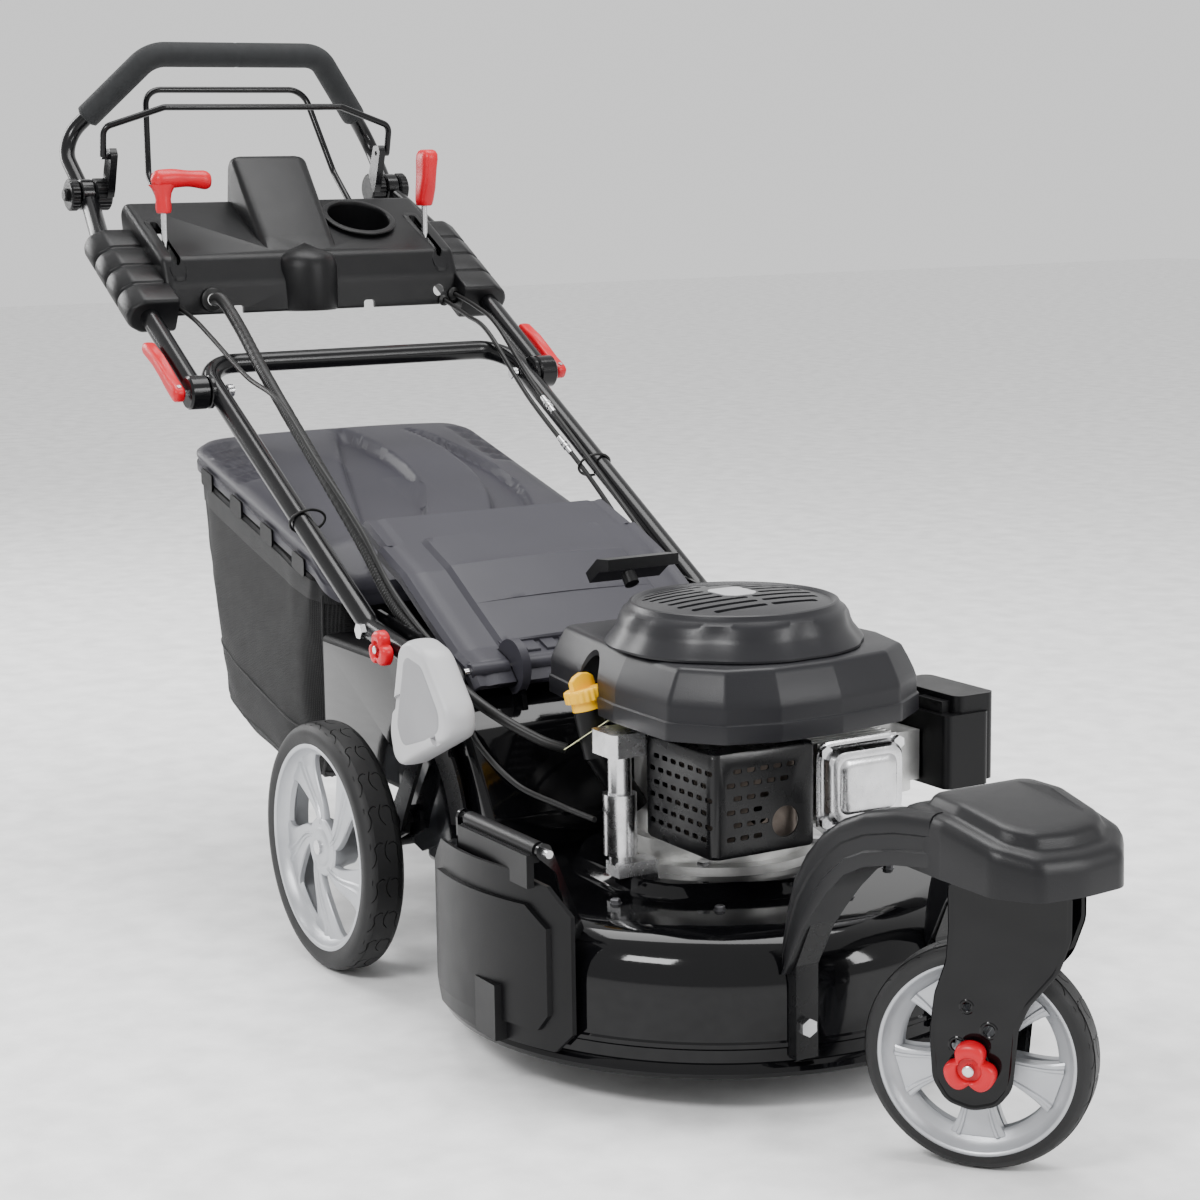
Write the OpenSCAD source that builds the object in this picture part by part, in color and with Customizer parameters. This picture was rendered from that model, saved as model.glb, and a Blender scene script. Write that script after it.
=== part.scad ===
// Three-wheeled petrol lawn mower with a swivelling front wheel and a rear grass bag.
// Millimetres. +X is the direction of travel, +Y the mower's left, +Z up.
// Heights are above the ground; the outline's middle is moved to the origin at the end.

/* [Wheels] */
// Outside diameter of a rear wheel
rear_wheel_d = 280; // [240:5:320]
// Width of a rear tyre
rear_tyre_w = 48; // [40:1:56]
// Distance between the outer faces of the rear wheels
rear_track = 562; // [555:1:620]
// Outside diameter of the front wheel
front_wheel_d = 208; // [180:2:220]
// Width of the front tyre
front_tyre_w = 46; // [38:1:50]
// Distance from the rear axle to the swivel axis of the front wheel
wheelbase = 862; // [840:2:920]
// How far the front wheel trails behind its swivel axis
trail = 24; // [15:1:35]
// Angle that the front wheel is turned by, as parked
caster_turn = 38.6; // [0:0.2:90]
/* [Deck] */
// Outside radius of the deck's round wall
deck_r = 283; // [270:1:290]
// Distance from the rear axle to the crankshaft, which is the deck's centre
deck_x = 390; // [384:1:396]
// Height of the deck's top
deck_top = 172; // [160:1:175]
// Height of the deck's lower edge
deck_low = 40; // [30:1:50]
// Thickness of the deck's sheet
sheet = 2.2; // [2:0.1:4]
// Length of the blade, tip to tip
blade_l = 508; // [400:4:530]
/* [Rear chute and bag] */
// Width of the grass chute
chute_w = 396; // [340:2:398]
// Width of the grass bag
bag_w = 400; // [360:2:404]
// Length of the grass bag
bag_l = 380; // [300:5:420]
// Thickness of the bag's hard top and woven sides
bag_t = 4; // [3:0.5:6]
/* [Handle] */
// Outside diameter of the handle's tubes
tube_d = 25; // [22:1:26]
// Height of the fold joint
fold_z = 619; // [600:1:640]
// Distance of the fold joint behind the rear axle
fold_x = 393; // [380:1:410]
// Distance between the centre lines of the lower handle's tubes
lower_w = 432; // [432:1:440]
// Length of the upper tubes from the fold joint to the grip's pivot
upper_l = 478; // [460:1:500]
// Diameter of the foam on the grip
foam_d = 34; // [31:1:36]
// Diameter of the two bails' rods
bail_d = 9; // [8:0.5:10]
/* [Console] */
// Diameter of the cup holder's bore
cup_d = 88; // [76:1:92]
// Depth of the cup holder's bore
cup_depth = 70; // [50:1:75]
/* [Engine] */
// Height of the cowl's domed top
cowl_top = 462; // [455:1:475]
// Diameter of the crankshaft at the blade
crank_d = 25; // [22:0.4:26]
/* [Fits] */
// Radial clearance of a turning fit
run_gap = 0.05; // [0.02:0.01:0.1]
// Gap between pieces that move past each other
gap = 1; // [0.5:0.1:2]
/* [Hidden] */
$fn = 64;

// Axle heights
rear_z = rear_wheel_d / 2;
front_z = front_wheel_d / 2;
wheel_y = rear_track / 2 - rear_tyre_w / 2;
shaft_d = 16;

// Crank arms that set the cutting height: the cross rod turns in the side plates
rod_x = 84;
rod_z = rear_z + 40;
rod_d = 16;
plate_t = 4;
plate_y = chute_w / 2 + plate_t;

// Fold joint, upper tubes and grip pivot
fold_p = [-fold_x, fold_z];
upper_a = atan2(237, -415);
upper_dir = [cos(upper_a), sin(upper_a)];
grip_p = fold_p + upper_l * upper_dir;
upper_w = lower_w + 2 * (tube_d + 1.4);
grip_w = 454;
loop_back = 74;
tail_x = -grip_p[0] + loop_back - 1.2;

// Front wheel and swivel
fork_top = 268;
head_low = 272;
head_top = 330;
nose_x = wheelbase + 103;
stem_d = 25;

// Side flap
flap_y = deck_r + 5;
flap_out_y = flap_y + 12;

// Engine
seat_z = deck_top + 15;
case_top = 330;
dome_x = deck_x + 36;

// Where the outline's middle lies, seen from above
mid_x = (nose_x - tail_x) / 2;
mid_y = (deck_r + 4 - flap_out_y) / 2;

// Moves a piece from the axle-based frame to the part's own frame
module place() { translate([-mid_x, -mid_y, 0]) children(); }

// Straight round bar from point a to point b
module bar(a, b, r) {
    d = b - a;
    len = norm(d);
    translate(a) rotate([0, acos(d[2] / len), atan2(d[1], d[0])]) cylinder(h = len, r = r);
}

function unit(v) = v / norm(v);
function turn_at(p, i) = acos(min(1, max(-1, unit(p[i] - p[i - 1]) * unit(p[i + 1] - p[i]))));
function cut_at(p, i, bend) =
    (i == 0 || i == len(p) - 1) ? 0 : bend * tan(turn_at(p, i) / 2);

// Centre line through the points p, with every corner rounded to the radius bend
function bend_line(p, bend, steps) = [
    for (i = [0 : len(p) - 1])
        each (i == 0 || i == len(p) - 1) ? [p[i]] : corner_arc(p, i, bend, steps)
];
function corner_arc(p, i, bend, steps) =
    let (
        u = unit(p[i] - p[i - 1]),
        v = unit(p[i + 1] - p[i]),
        n = unit(v - (v * u) * u),
        c = p[i] - u * cut_at(p, i, bend) + n * bend,
        turn = turn_at(p, i)
    )
    [for (k = [0 : steps]) c + bend * (sin(turn * k / steps) * u - cos(turn * k / steps) * n)];

// Round bar along the points p, bent to the radius bend at each corner
module bent_bar(p, r, bend, sides = 16, steps = 5) { cable(bend_line(p, bend, steps), r, sides); }

// Slab with its outline in the XZ plane, from y0 to y1
module slab(y0, y1, pts) {
    translate([0, y1, 0]) rotate([90, 0, 0]) linear_extrude(y1 - y0) polygon(pts);
}

// Round pin along Y
module y_pin(x, z, y0, y1, r) {
    translate([x, y0, z]) rotate([-90, 0, 0]) cylinder(h = y1 - y0, r = r);
}

// Block with its vertical edges rounded to the radius r
module round_block(x0, x1, y0, y1, z0, z1, r) {
    translate([0, 0, z0]) linear_extrude(z1 - z0) round_plan(x0, x1, y0, y1, r);
}
module round_plan(x0, x1, y0, y1, r) {
    translate([x0 + r, y0]) square([x1 - x0 - 2 * r, y1 - y0]);
    translate([x0, y0 + r]) square([x1 - x0, y1 - y0 - 2 * r]);
    for (x = [x0 + r, x1 - r]) {
        for (y = [y0 + r, y1 - r]) translate([x, y]) circle(r);
    }
}

module both_sides() {
    children();
    mirror([0, 1, 0]) children();
}

// Tube swept along the points p: one ring of points at each, carried on without twist
function swept_dir(p, i) = unit(p[min(i + 1, len(p) - 1)] - p[max(i - 1, 0)]);
function square_to(d, s) = unit(s - (s * d) * d);
function swept_sides(p) = [
    for (i = 0, s = square_to(swept_dir(p, 0), [0.3, 0.5, 0.8]); i < len(p);
         i = i + 1, s = i < len(p) ? square_to(swept_dir(p, i), s) : s) s
];
module cable(p, r, sides = 8) {
    rings = len(p);
    side = swept_sides(p);
    pts = [
        for (i = [0 : rings - 1], k = [0 : sides - 1])
            let (a = 360 * k / sides)
            p[i] + r * (cos(a) * side[i] + sin(a) * cross(swept_dir(p, i), side[i]))
    ];
    walls = [
        for (i = [0 : rings - 2], k = [0 : sides - 1])
        [i * sides + k, (i + 1) * sides + k, (i + 1) * sides + (k + 1) % sides,
         i * sides + (k + 1) % sides]
    ];
    first = [for (k = [0 : sides - 1]) k];
    final = [for (k = [0 : sides - 1]) rings * sides - 1 - k];
    polyhedron(points = pts, faces = concat([first], walls, [final]));
}
// A smooth curve through the points of a route, with steps rings a stretch
function catmull(a, b, c, d, t) =
    0.5 * ((2 * b) + (c - a) * t + (2 * a - 5 * b + 4 * c - d) * t * t
           + (3 * b - a - 3 * c + d) * t * t * t);
function smooth(p, steps) = [
    for (i = [0 : len(p) - 2], s = [0 : steps - 1])
        catmull(p[max(i - 1, 0)], p[i], p[i + 1], p[min(i + 2, len(p) - 1)], s / steps),
    p[len(p) - 1]
];

// ---- Deck -------------------------------------------------------------

// Half outline of the dished deck, offset inwards by t
function deck_outline(t) = [
    [0, deck_low], [deck_r - t, deck_low], [deck_r - t, deck_top - 42],
    [deck_r - 6 - t, deck_top - 22], [deck_r - 22 - t, deck_top - 6],
    [deck_r - 44 - t, deck_top - t], [150 - t, deck_top - t], [138 - t, seat_z - t],
    [0, seat_z - t]
];
// Side outline of the rear chute, offset inwards by t
chute_floor = rod_z + 24;
chute_end = -150;
chute_roof = 352;
function chute_outline(t) = [
    [deck_x - 128 - t, deck_top - 40], [deck_x - 128 - t, 215], [215 - t, 300 - t],
    [140 - t, chute_roof - t], [chute_end - 2 * t, chute_roof - t],
    [chute_end - 2 * t, chute_floor + t], [deck_x - deck_r + 5 + t, chute_floor + t],
    [deck_x - deck_r + 5 + t, deck_top - 40]
];

module chute_solid(t) {
    half = chute_w / 2 - t;
    intersection() {
        slab(-half, half, chute_outline(t));
        round_block(chute_end - 60, deck_x - 128 - t, -half, half, 0, 400, 60 - t);
    }
}

ear_y = 112;
door_hinge = [172, 356];
flap_hinge = [deck_x + 68, -deck_r + 12, deck_top + 78];
// Upright plate across the deck at x, its outline in the YZ plane
module ear_plate(x, pts) translate([x, 0, 0]) rotate([90, 0, 90]) linear_extrude(10) polygon(pts);

// The deck's dished body, offset inwards by t
module dish(t) { translate([deck_x, 0, 0]) rotate_extrude($fn = 128) polygon(deck_outline(t)); }

module deck_shell() color("#0b0b0c") place() {
    difference() {
        union() {
            dish(0);
            chute_solid(0);
            both_sides() slab(ear_y, ear_y + 8, [
                [150, 336], [200, 304], [186, 358], [178, 367], [164, 366]
            ]);
            // ears that carry the side flap's rod
            ear_plate(345, [[-276, 150], [-279, 256], [-272, 260], [-262, 256], [-250, 160]]);
            ear_plate(505, [
                [-240, 154], [-258, 228], [-280, 246], [-279, 256], [-272, 260], [-262, 256],
                [-228, 170]
            ]);
            // rolled bead along the lower edge
            translate([deck_x, 0, deck_low + 5]) rotate_extrude($fn = 128)
                translate([deck_r - 1, 0]) circle(5);
        }
        translate([deck_x, 0, -1]) cylinder(h = deck_low + 1.5, r = deck_r - sheet);
        dish(sheet);
        chute_solid(sheet);
        y_pin(door_hinge[0], door_hinge[1], -300, 300, 4);
        translate([300, flap_hinge[1], flap_hinge[2]]) rotate([0, 90, 0]) cylinder(h = 240, r = 4);
        frame_bolts(22, 4);
        flange_bolts(-40, 3);
        // crankshaft hole
        translate([deck_x, 0, deck_top]) cylinder(h = 30, r = 46);
        // side discharge opening behind the side flap
        translate([deck_x - 62, -deck_r - 20, deck_low + 18]) cube([150, 120, 82]);
        // belt passes back to the gearbox under the chute's floor
        translate([deck_x - deck_r - 20, -38, belt_z - 12]) cube([60, 76, 24]);
    }
}

// ---- Side plates carrying the handle and the height mechanism ---------

foot_front = [96, 376];
foot_rear = [34, 386];
module side_plate() {
    difference() {
        union() {
            slab(plate_y - plate_t, plate_y, [
                [60, rod_z - 18], [112, rod_z - 30], [210, 190], [210, 240], [118, 392],
                [16, 404], [14, 372], [60, 320]
            ]);
            for (p = [foot_front, foot_rear])
                y_pin(p[0], p[1], plate_y - 1, lower_w / 2 - tube_d / 2, 11);
        }
        y_pin(rod_x, rod_z, plate_y - 20, plate_y + 20, rod_d / 2 + run_gap);
    }
}
module side_plates() color("#101011") place() both_sides() side_plate();

// Toothed arc that the height lever locks into
height_r = 150;
lever_a = 58;
module height_plate() color("#141415") place() difference() {
    union() {
        translate([rod_x, -plate_y - 8, rod_z]) rotate([-90, 0, 0]) difference() {
            cylinder(h = 4, r = height_r);
            translate([0, 0, -1]) cylinder(h = 6, r = height_r - 34);
            translate([0, 0, -1]) linear_extrude(6)
                polygon([[0, 0], [220, -38], [220, 260], [-260, 260], [-260, -260], [-20, -260]]);
        }
        for (a = [lever_a - 26, lever_a + 26])
            y_pin(rod_x + (height_r - 18) * cos(a), rod_z + (height_r - 18) * sin(a),
                  -plate_y - 5, -plate_y, 6);
    }
    for (k = [-3 : 3]) {
        a = lever_a + 6 * k;
        y_pin(rod_x + height_r * cos(a), rod_z + height_r * sin(a), -plate_y - 9, -plate_y + 1, 4);
    }
}

// ---- Rear axle, height lever and drive --------------------------------

arm_y = plate_y + 6;
module axle_beam() color("#2a2a2c") place() difference() {
    union() {
        y_pin(0, rear_z, -arm_y - 6, arm_y + 6, 13);
        y_pin(rod_x, rod_z, -arm_y - 12, arm_y + 6, rod_d / 2);
        both_sides() slab(arm_y, arm_y + 6, [
            [-14, rear_z - 12], [8, rear_z - 14], [rod_x + 12, rod_z - 12],
            [rod_x + 12, rod_z + 10], [rod_x - 10, rod_z + 13], [-14, rear_z + 12]
        ]);
    }
    y_pin(0, rear_z, -arm_y - 8, arm_y + 8, shaft_d / 2 + run_gap);
    // room for the gearbox between two halves of the beam
    translate([-30, -34, rear_z - 30]) cube([60, 68, 60]);
}

lever_y = arm_y + 6;
function along(a, r) = [rod_x + r * cos(a), rod_z + r * sin(a)];
module height_lever() color("#1c1c1e") place() difference() {
    union() {
        slab(-lever_y - 5, -lever_y, [
            along(lever_a - 100, 15), along(lever_a - 40, 18), along(lever_a - 4, height_r - 20),
            along(lever_a + 4, height_r - 20), along(lever_a + 60, 18), along(lever_a + 120, 15)
        ]);
        slab(-lever_y - 32, -lever_y, [
            along(lever_a - 5, height_r - 32), along(lever_a - 4, height_r - 20),
            along(lever_a + 4, height_r - 20), along(lever_a + 5, height_r - 32)
        ]);
        slab(-lever_y - 32, -lever_y - 27, [
            along(lever_a - 5, height_r - 32), along(lever_a - 2.5, height_r + 60),
            along(lever_a + 2.5, height_r + 60), along(lever_a + 5, height_r - 32)
        ]);
    }
    y_pin(rod_x, rod_z, -lever_y - 40, 0, rod_d / 2);
}

module height_grip() color("#c9c9c7") place() difference() {
    slab(-lever_y - 50, -lever_y - 14, [
        [190, 398], [212, 408], [250, 400], [300, 345], [300, 318],
        [262, 300], [176, 262], [164, 300]
    ]);
    slab(-lever_y - 32, -lever_y - 27, [
        along(lever_a - 5, height_r - 32), along(lever_a - 2.5, height_r + 60),
        along(lever_a + 2.5, height_r + 60), along(lever_a + 5, height_r - 32)
    ]);
    slab(-lever_y - 33, -lever_y, [
        along(lever_a - 5, height_r - 40), along(lever_a - 4, height_r - 20),
        along(lever_a + 4, height_r - 20), along(lever_a + 5, height_r - 40)
    ]);
}

// Gearbox on the rear axle, with an upright input shaft for the belt
gear_x = 72;
belt_z = deck_top - 23;
crank_root = 22;
gear_root = 20;
belt_t = 7;
module gearbox() color("#8f9194") place() difference() {
    union() {
        y_pin(0, rear_z, -33, 33, 34);
        translate([0, -26, rear_z - 26]) cube([gear_x, 52, 22]);
        translate([gear_x, 0, rear_z - 28]) cylinder(h = belt_z - 9 - rear_z + 28, r = 21);
        y_pin(0, rear_z, -50, 50, 17);
    }
    // hollow for the gears, bores for the drive shaft, axle beam and input shaft
    y_pin(0, rear_z, -28, 28, 28);
    translate([20, -20, rear_z - 22]) cube([gear_x - 20, 40, 14]);
    y_pin(0, rear_z, -60, 60, shaft_d / 2 + 3);
    for (s = [-1, 1]) y_pin(0, rear_z, s > 0 ? 34 : -60, s > 0 ? 60 : -34, 13);
    translate([gear_x, 0, rear_z - 24]) cylinder(h = 60, r = 6 + run_gap);
}

// Grooved pulley about the Z axis
module pulley(x, z, root) {
    translate([x, 0, z]) rotate_extrude() polygon([
        [0, -8], [root + 9, -8], [root + 9, -6], [root, -4], [root, 4],
        [root + 9, 6], [root + 9, 8], [0, 8]
    ]);
}
module gearbox_pulley() color("#6d6f72") place() {
    pulley(gear_x, belt_z, gear_root);
    translate([gear_x, 0, rear_z - 18]) cylinder(h = belt_z - rear_z + 12, r = 6);
}

module belt_path(grow) {
    hull() {
        translate([gear_x, 0]) circle(gear_root + grow);
        translate([deck_x, 0]) circle(crank_root + grow);
    }
}
module drive_belt() color("#161616") place() translate([0, 0, belt_z - 3]) linear_extrude(6)
    difference() {
        belt_path(0.3 + belt_t);
        belt_path(0.3);
    }

module drive_shaft() color("#b9bbbd") place() {
    y_pin(0, rear_z, -wheel_y - 21, wheel_y + 21, shaft_d / 2);
    // worm wheel inside the gearbox
    y_pin(0, rear_z, -9, 9, 24);
}

// ---- Wheels -----------------------------------------------------------

rim_share = 0.839;
module tyre(d, w, rim_r) {
    r = d / 2;
    h = w / 2;
    rotate([-90, 0, 0]) rotate_extrude($fn = 96) polygon([
        [rim_r, -h + 3], [r - 10, -h], [r - 3, -h + 5], [r, -h + 12], [r, h - 12],
        [r - 3, h - 5], [r - 10, h], [rim_r, h - 3]
    ]);
}
// Five-spoked hub with its axis along Y and its outer face towards -Y
module hub(rim_r, w, bore_r, boss_r) {
    h = w / 2 - 3;
    difference() {
        rotate([-90, 0, 0]) union() {
            rotate_extrude($fn = 96) polygon([
                [rim_r - 11, -h], [rim_r, -h], [rim_r, h], [rim_r - 7, h], [rim_r - 7, -h + 20],
                [rim_r - 11, -h + 20]
            ]);
            translate([0, 0, -h + 2]) cylinder(h = 2 * h - 2, r = boss_r);
            for (k = [0 : 4]) rotate(72 * k) translate([0, 0, -h + 6]) linear_extrude(10)
                polygon([
                    [boss_r * 0.7, -boss_r * 0.5], [rim_r - 5, -boss_r * 0.5],
                    [rim_r - 5, boss_r * 0.5], [boss_r * 0.7, boss_r * 0.5]
                ]);
        }
        rotate([-90, 0, 0]) translate([0, 0, -w]) cylinder(h = 2 * w, r = bore_r);
    }
}
rear_rim = rear_wheel_d / 2 * rim_share;
module rear_wheel_at(side) {
    place() translate([0, side * wheel_y, rear_z]) rotate([0, 0, side > 0 ? 180 : 0]) children();
}
module rear_tyre_right() color("#17171a") rear_wheel_at(-1) tyre(rear_wheel_d, rear_tyre_w, rear_rim);
module rear_tyre_left() color("#17171a") rear_wheel_at(1) tyre(rear_wheel_d, rear_tyre_w, rear_rim);
module rear_hub_right() color("#b4b6b9") rear_wheel_at(-1)
    hub(rear_rim, rear_tyre_w, shaft_d / 2 + run_gap, 26);
module rear_hub_left() color("#b4b6b9") rear_wheel_at(1)
    hub(rear_rim, rear_tyre_w, shaft_d / 2 + run_gap, 26);

// ---- Front wheel, turned about its swivel -----------------------------

axle_r = 6;
front_rim = front_wheel_d / 2 * 0.889;
leg_in = front_tyre_w / 2 + 8;
leg_t = 4;
// The swivelling group is drawn with +X as its heading, then turned
module caster() {
    place() translate([wheelbase, 0, 0]) rotate([0, 0, caster_turn]) children();
}
module front_tyre() color("#17171a") caster() translate([-trail, 0, front_z])
    tyre(front_wheel_d, front_tyre_w, front_rim);
module front_hub() color("#b4b6b9") caster() translate([-trail, 0, front_z])
    hub(front_rim, front_tyre_w, axle_r + run_gap, 19);

module fork_leg() {
    difference() {
        slab(-leg_in - leg_t, -leg_in, [
            [-45, fork_top], [58, fork_top], [58, 226], [48, 196], [22, 164], [12, 140],
            [8, front_z - 18], [-4, front_z - 34], [-24, front_z - 40], [-46, front_z - 34],
            [-57, front_z - 16], [-60, front_z + 26], [-56, 165], [-46, 196], [-44, 226]
        ]);
        // axle hole and the spare holes for the other wheel heights
        y_pin(-trail, front_z, -leg_in - 9, -leg_in + 1, axle_r);
        for (k = [1 : 2]) y_pin(-trail + (k % 2 ? -14 : 14), front_z + 16 * k,
            -leg_in - 9, -leg_in + 1, axle_r);
    }
}
module caster_fork() color("#0e0e10") caster() {
    both_sides() fork_leg();
    translate([-45, -leg_in - leg_t, fork_top - 5]) cube([103, 2 * (leg_in + leg_t), 5]);
    translate([0, 0, fork_top - 3]) cylinder(h = head_top - fork_top - 2, r = stem_d / 2);
}
module front_axle() color("#b9bbbd") caster() {
    y_pin(-trail, front_z, -leg_in - 22, leg_in + 10, axle_r);
    y_pin(-trail, front_z, leg_in + leg_t, leg_in + leg_t + 7, 10);
}
module front_knob() color("#d01425") caster() difference() {
    union() {
        y_pin(-trail, front_z, -leg_in - 26, -leg_in - leg_t - 0.3, 13);
        for (k = [0 : 2]) y_pin(-trail + 15 * cos(120 * k + 90), front_z + 15 * sin(120 * k + 90),
            -leg_in - 24, -leg_in - leg_t - 6, 9);
    }
    y_pin(-trail, front_z, -leg_in - 30, 0, axle_r + run_gap);
}

// ---- Front frame and its cover ----------------------------------------

arm_w = 38;
arm_out = 102;
head_half = 79;
wall_x = deck_x + sqrt(pow(deck_r, 2) - pow(arm_out - arm_w / 2, 2));
// One arm seen from above, running in towards the head, offset inwards by t
function arm_plan(t) = [
    [wall_x - 40, arm_out - arm_w + t], [wall_x - 40, arm_out - t], [720, arm_out - 2 - t],
    [800, head_half + 6 - t], [wheelbase, head_half - 3 - t], [wheelbase, head_half - 41 + t],
    [800, head_half - 34 + t], [720, arm_out - arm_w - 4 + t]
];
// One arm of the frame, grown by g
module frame_arm(g) intersection() {
    linear_extrude(400) polygon(arm_plan(7 - g));
    slab(0, 200, [
        [wall_x - 9, 58 - g], [wall_x + 9 + g, 58 - g], [wall_x + 9 + g, 150 - g],
        [wall_x + 32 + g, 196 - g], [734 + g, 254 - g], [764 + g, 280 - g], [815, 288 - g],
        [815, 308 + g], [760 - g, 305 + g], [716 - g, 276 + g], [wall_x + 10 - g, 206 + g],
        [wall_x - 9, 160 + g]
    ]);
}
// Bolts of the frame's two feet, through the deck's wall
module frame_bolts(reach, r) {
    both_sides() translate([wall_x + 9 - reach, arm_out - 19, 90]) rotate([0, 90, 0])
        cylinder(h = reach, r = r);
}
module front_frame() color("#131315") place() difference() {
    union() {
        both_sides() frame_arm(0);
        translate([797, -head_half + 9, 289]) cube([20, 2 * head_half - 18, 19]);
        translate([800, -30, 291]) cube([wheelbase - 800, 60, 18]);
        translate([wheelbase, 0, fork_top + 2]) cylinder(h = head_top - fork_top - 12, r = 24);
    }
    translate([wheelbase, 0, 200]) cylinder(h = 200, r = stem_d / 2 + run_gap);
    frame_bolts(40, 4);
    dish(-0.2);
}

// The cover's head seen from above, offset inwards by t
function head_plan(t) = [
    [792 + t, -head_half + 4 + t], [wheelbase, -head_half + t], [930, -head_half + 5 + t],
    [nose_x - 3 - t, -46 + t / 2], [nose_x - t, 0], [nose_x - 3 - t, 46 - t / 2],
    [930, head_half - 5 - t], [wheelbase, head_half - t], [792 + t, head_half - 4 - t]
];
// One arm of the cover seen from the side, offset inwards by t
function arm_side(t) = [
    [wall_x - 6 + t, 142 + 2 * t], [wall_x + 14 - t, 124 + 2 * t], [685 - t / 2, 187],
    [724, 234 + t], [747, 259 + t], [770, 271 + t], [812, 280 + t], [850, 284 + t],
    [850, 332 - t], [808, 329 - t], [778, 322 - t], [744, 309 - t], [709, 289 - t],
    [679 + t / 2, 261 - t], [636 + t, 203 - t / 2]
];
module cover_arm(t) intersection() {
    linear_extrude(400) polygon(arm_plan(t));
    slab(0, 200, arm_side(t));
}
module front_cover() color("#2b2b2e") place() difference() {
    union() {
        both_sides() cover_arm(0);
        intersection() {
            translate([0, 0, head_low]) linear_extrude(90) polygon(head_plan(0));
            slab(-90, 90, [
                [780, 280], [970, head_low], [970, 312], [nose_x - 3, 328], [930, head_top + 8],
                [780, head_top + 4]
            ]);
        }
        translate([0, 0, 300]) linear_extrude(46) polygon([
            [868, -46], [930, -46], [946, -30], [946, 30], [930, 46], [868, 46]
        ]);
    }
    both_sides() cover_arm(3.5);
    both_sides() frame_arm(0.5);
    dish(-0.4);
    // hollow under the head
    intersection() {
        translate([0, 0, 200]) linear_extrude(140) polygon(head_plan(4));
        slab(-90, 90, [[785, 200], [980, 200], [980, 306], [930, head_top], [785, head_top]]);
    }
}

// ---- Engine -----------------------------------------------------------

module at_crank() { translate([deck_x, 0, 0]) children(); }
head_x = 548;
head_y = 64;
// Shanks of the four bolts that hold the engine to the deck, from below the flange's top
module flange_bolts(down, r) {
    for (a = [-40, 50, 140, 230]) at_crank() rotate(a) translate([104, 0, seat_z + 9 + down])
        cylinder(h = -down, r = r);
}
// Shanks of the valve cover's bolts
head_y_bolts = [head_y - 42, head_y + 46];
module head_bolts(back, r) {
    for (y = head_y_bolts, z = [246, 316]) translate([head_x + 4 + back, y, z])
        rotate([0, 90, 0]) cylinder(h = -back, r = r);
}
module engine_block() color("#a9abad") place() difference() {
    union() {
        // mounting flange and crankcase
        at_crank() translate([0, 0, seat_z]) cylinder(h = 9, r = 112);
        at_crank() translate([0, 0, seat_z + 8]) cylinder(h = 20, r = 96);
        at_crank() translate([0, 0, seat_z + 20]) cylinder(h = case_top - seat_z - 20, r = 84);
        // cylinder with its cooling fins
        translate([deck_x + 40, head_y - 34, 246]) cube([head_x - deck_x - 40, 68, 70]);
        for (k = [0 : 8]) translate([deck_x + 84 + 8.6 * k, head_y - 46, 240]) cube([3, 96, 84]);
    }
    // crankcase hollow, main bearings and cylinder bore
    at_crank() translate([0, 0, seat_z + 16]) cylinder(h = case_top - seat_z - 28, r = 70);
    at_crank() translate([0, 0, seat_z - 5]) cylinder(h = 200, r = crank_d / 2 + run_gap);
    translate([deck_x + 60, head_y, 281]) rotate([0, 90, 0]) cylinder(h = 70, r = 28);
    flange_bolts(-20, 3);
    head_bolts(-8, 3);
    // slots through the flange
    for (a = [-95, -60, -25, 20, 130, 165, 200, 235]) at_crank() rotate(a)
        translate([92, -13, seat_z - 1]) cube([14, 26, 9]);
}
module valve_cover() color("#c4c6c8") place() difference() {
    union() {
        translate([head_x, 0, 0]) rotate([0, 90, 0]) rotate([0, 0, 90]) linear_extrude(4)
            round_plan(head_y - 50, head_y + 54, 236, 326, 14);
        translate([head_x + 3, 0, 0]) rotate([0, 90, 0]) rotate([0, 0, 90]) linear_extrude(17)
            round_plan(head_y - 34, head_y + 40, 240, 312, 16);
    }
    translate([head_x - 1, 0, 0]) rotate([0, 90, 0]) rotate([0, 0, 90]) linear_extrude(18)
        round_plan(head_y - 30, head_y + 36, 244, 308, 13);
    head_bolts(-8, 3);
}

guard = [[440, 566], [-118, 4], [228, 334]];
module muffler() color("#5a5856") place() difference() {
    round_block(guard[0][0] + 14, guard[0][1] - 12, guard[1][0] + 12, guard[1][1] - 8,
                guard[2][0] + 12, guard[2][1] - 10, 16);
    difference() {
        round_block(guard[0][0] + 16, guard[0][1] - 14, guard[1][0] + 14, guard[1][1] - 10,
                    guard[2][0] + 14, guard[2][1] - 12, 14);
        at_crank() cylinder(h = 400, r = 88);
    }
    at_crank() cylinder(h = 400, r = 85.5);
    translate([guard[0][1] - 30, -58, 268]) rotate([0, 90, 0]) cylinder(h = 40, r = 12);
}
module muffler_guard() color("#0f0f10") place() difference() {
    round_block(guard[0][0], guard[0][1], guard[1][0], guard[1][1], guard[2][0], guard[2][1], 18);
    round_block(guard[0][0] + 3, guard[0][1] - 3, guard[1][0] + 3, guard[1][1] + 20,
                guard[2][0] - 3, guard[2][1] - 3, 15);
    at_crank() cylinder(h = 400, r = 85);
    for (row = [0 : 7], col = [0 : 3])
        translate([guard[0][0] + 18 + 24 * col, guard[1][0] - 5, guard[2][0] + 16 + 10 * row])
            cube([18, 12, 5]);
    for (row = [0 : 4]) translate([guard[0][1] - 8, -104, guard[2][0] + 56 + 8 * row])
        cube([12, 26, 4]);
    translate([guard[0][1] - 10, -58, 268]) rotate([0, 90, 0]) cylinder(h = 20, r = 16);
}
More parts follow.
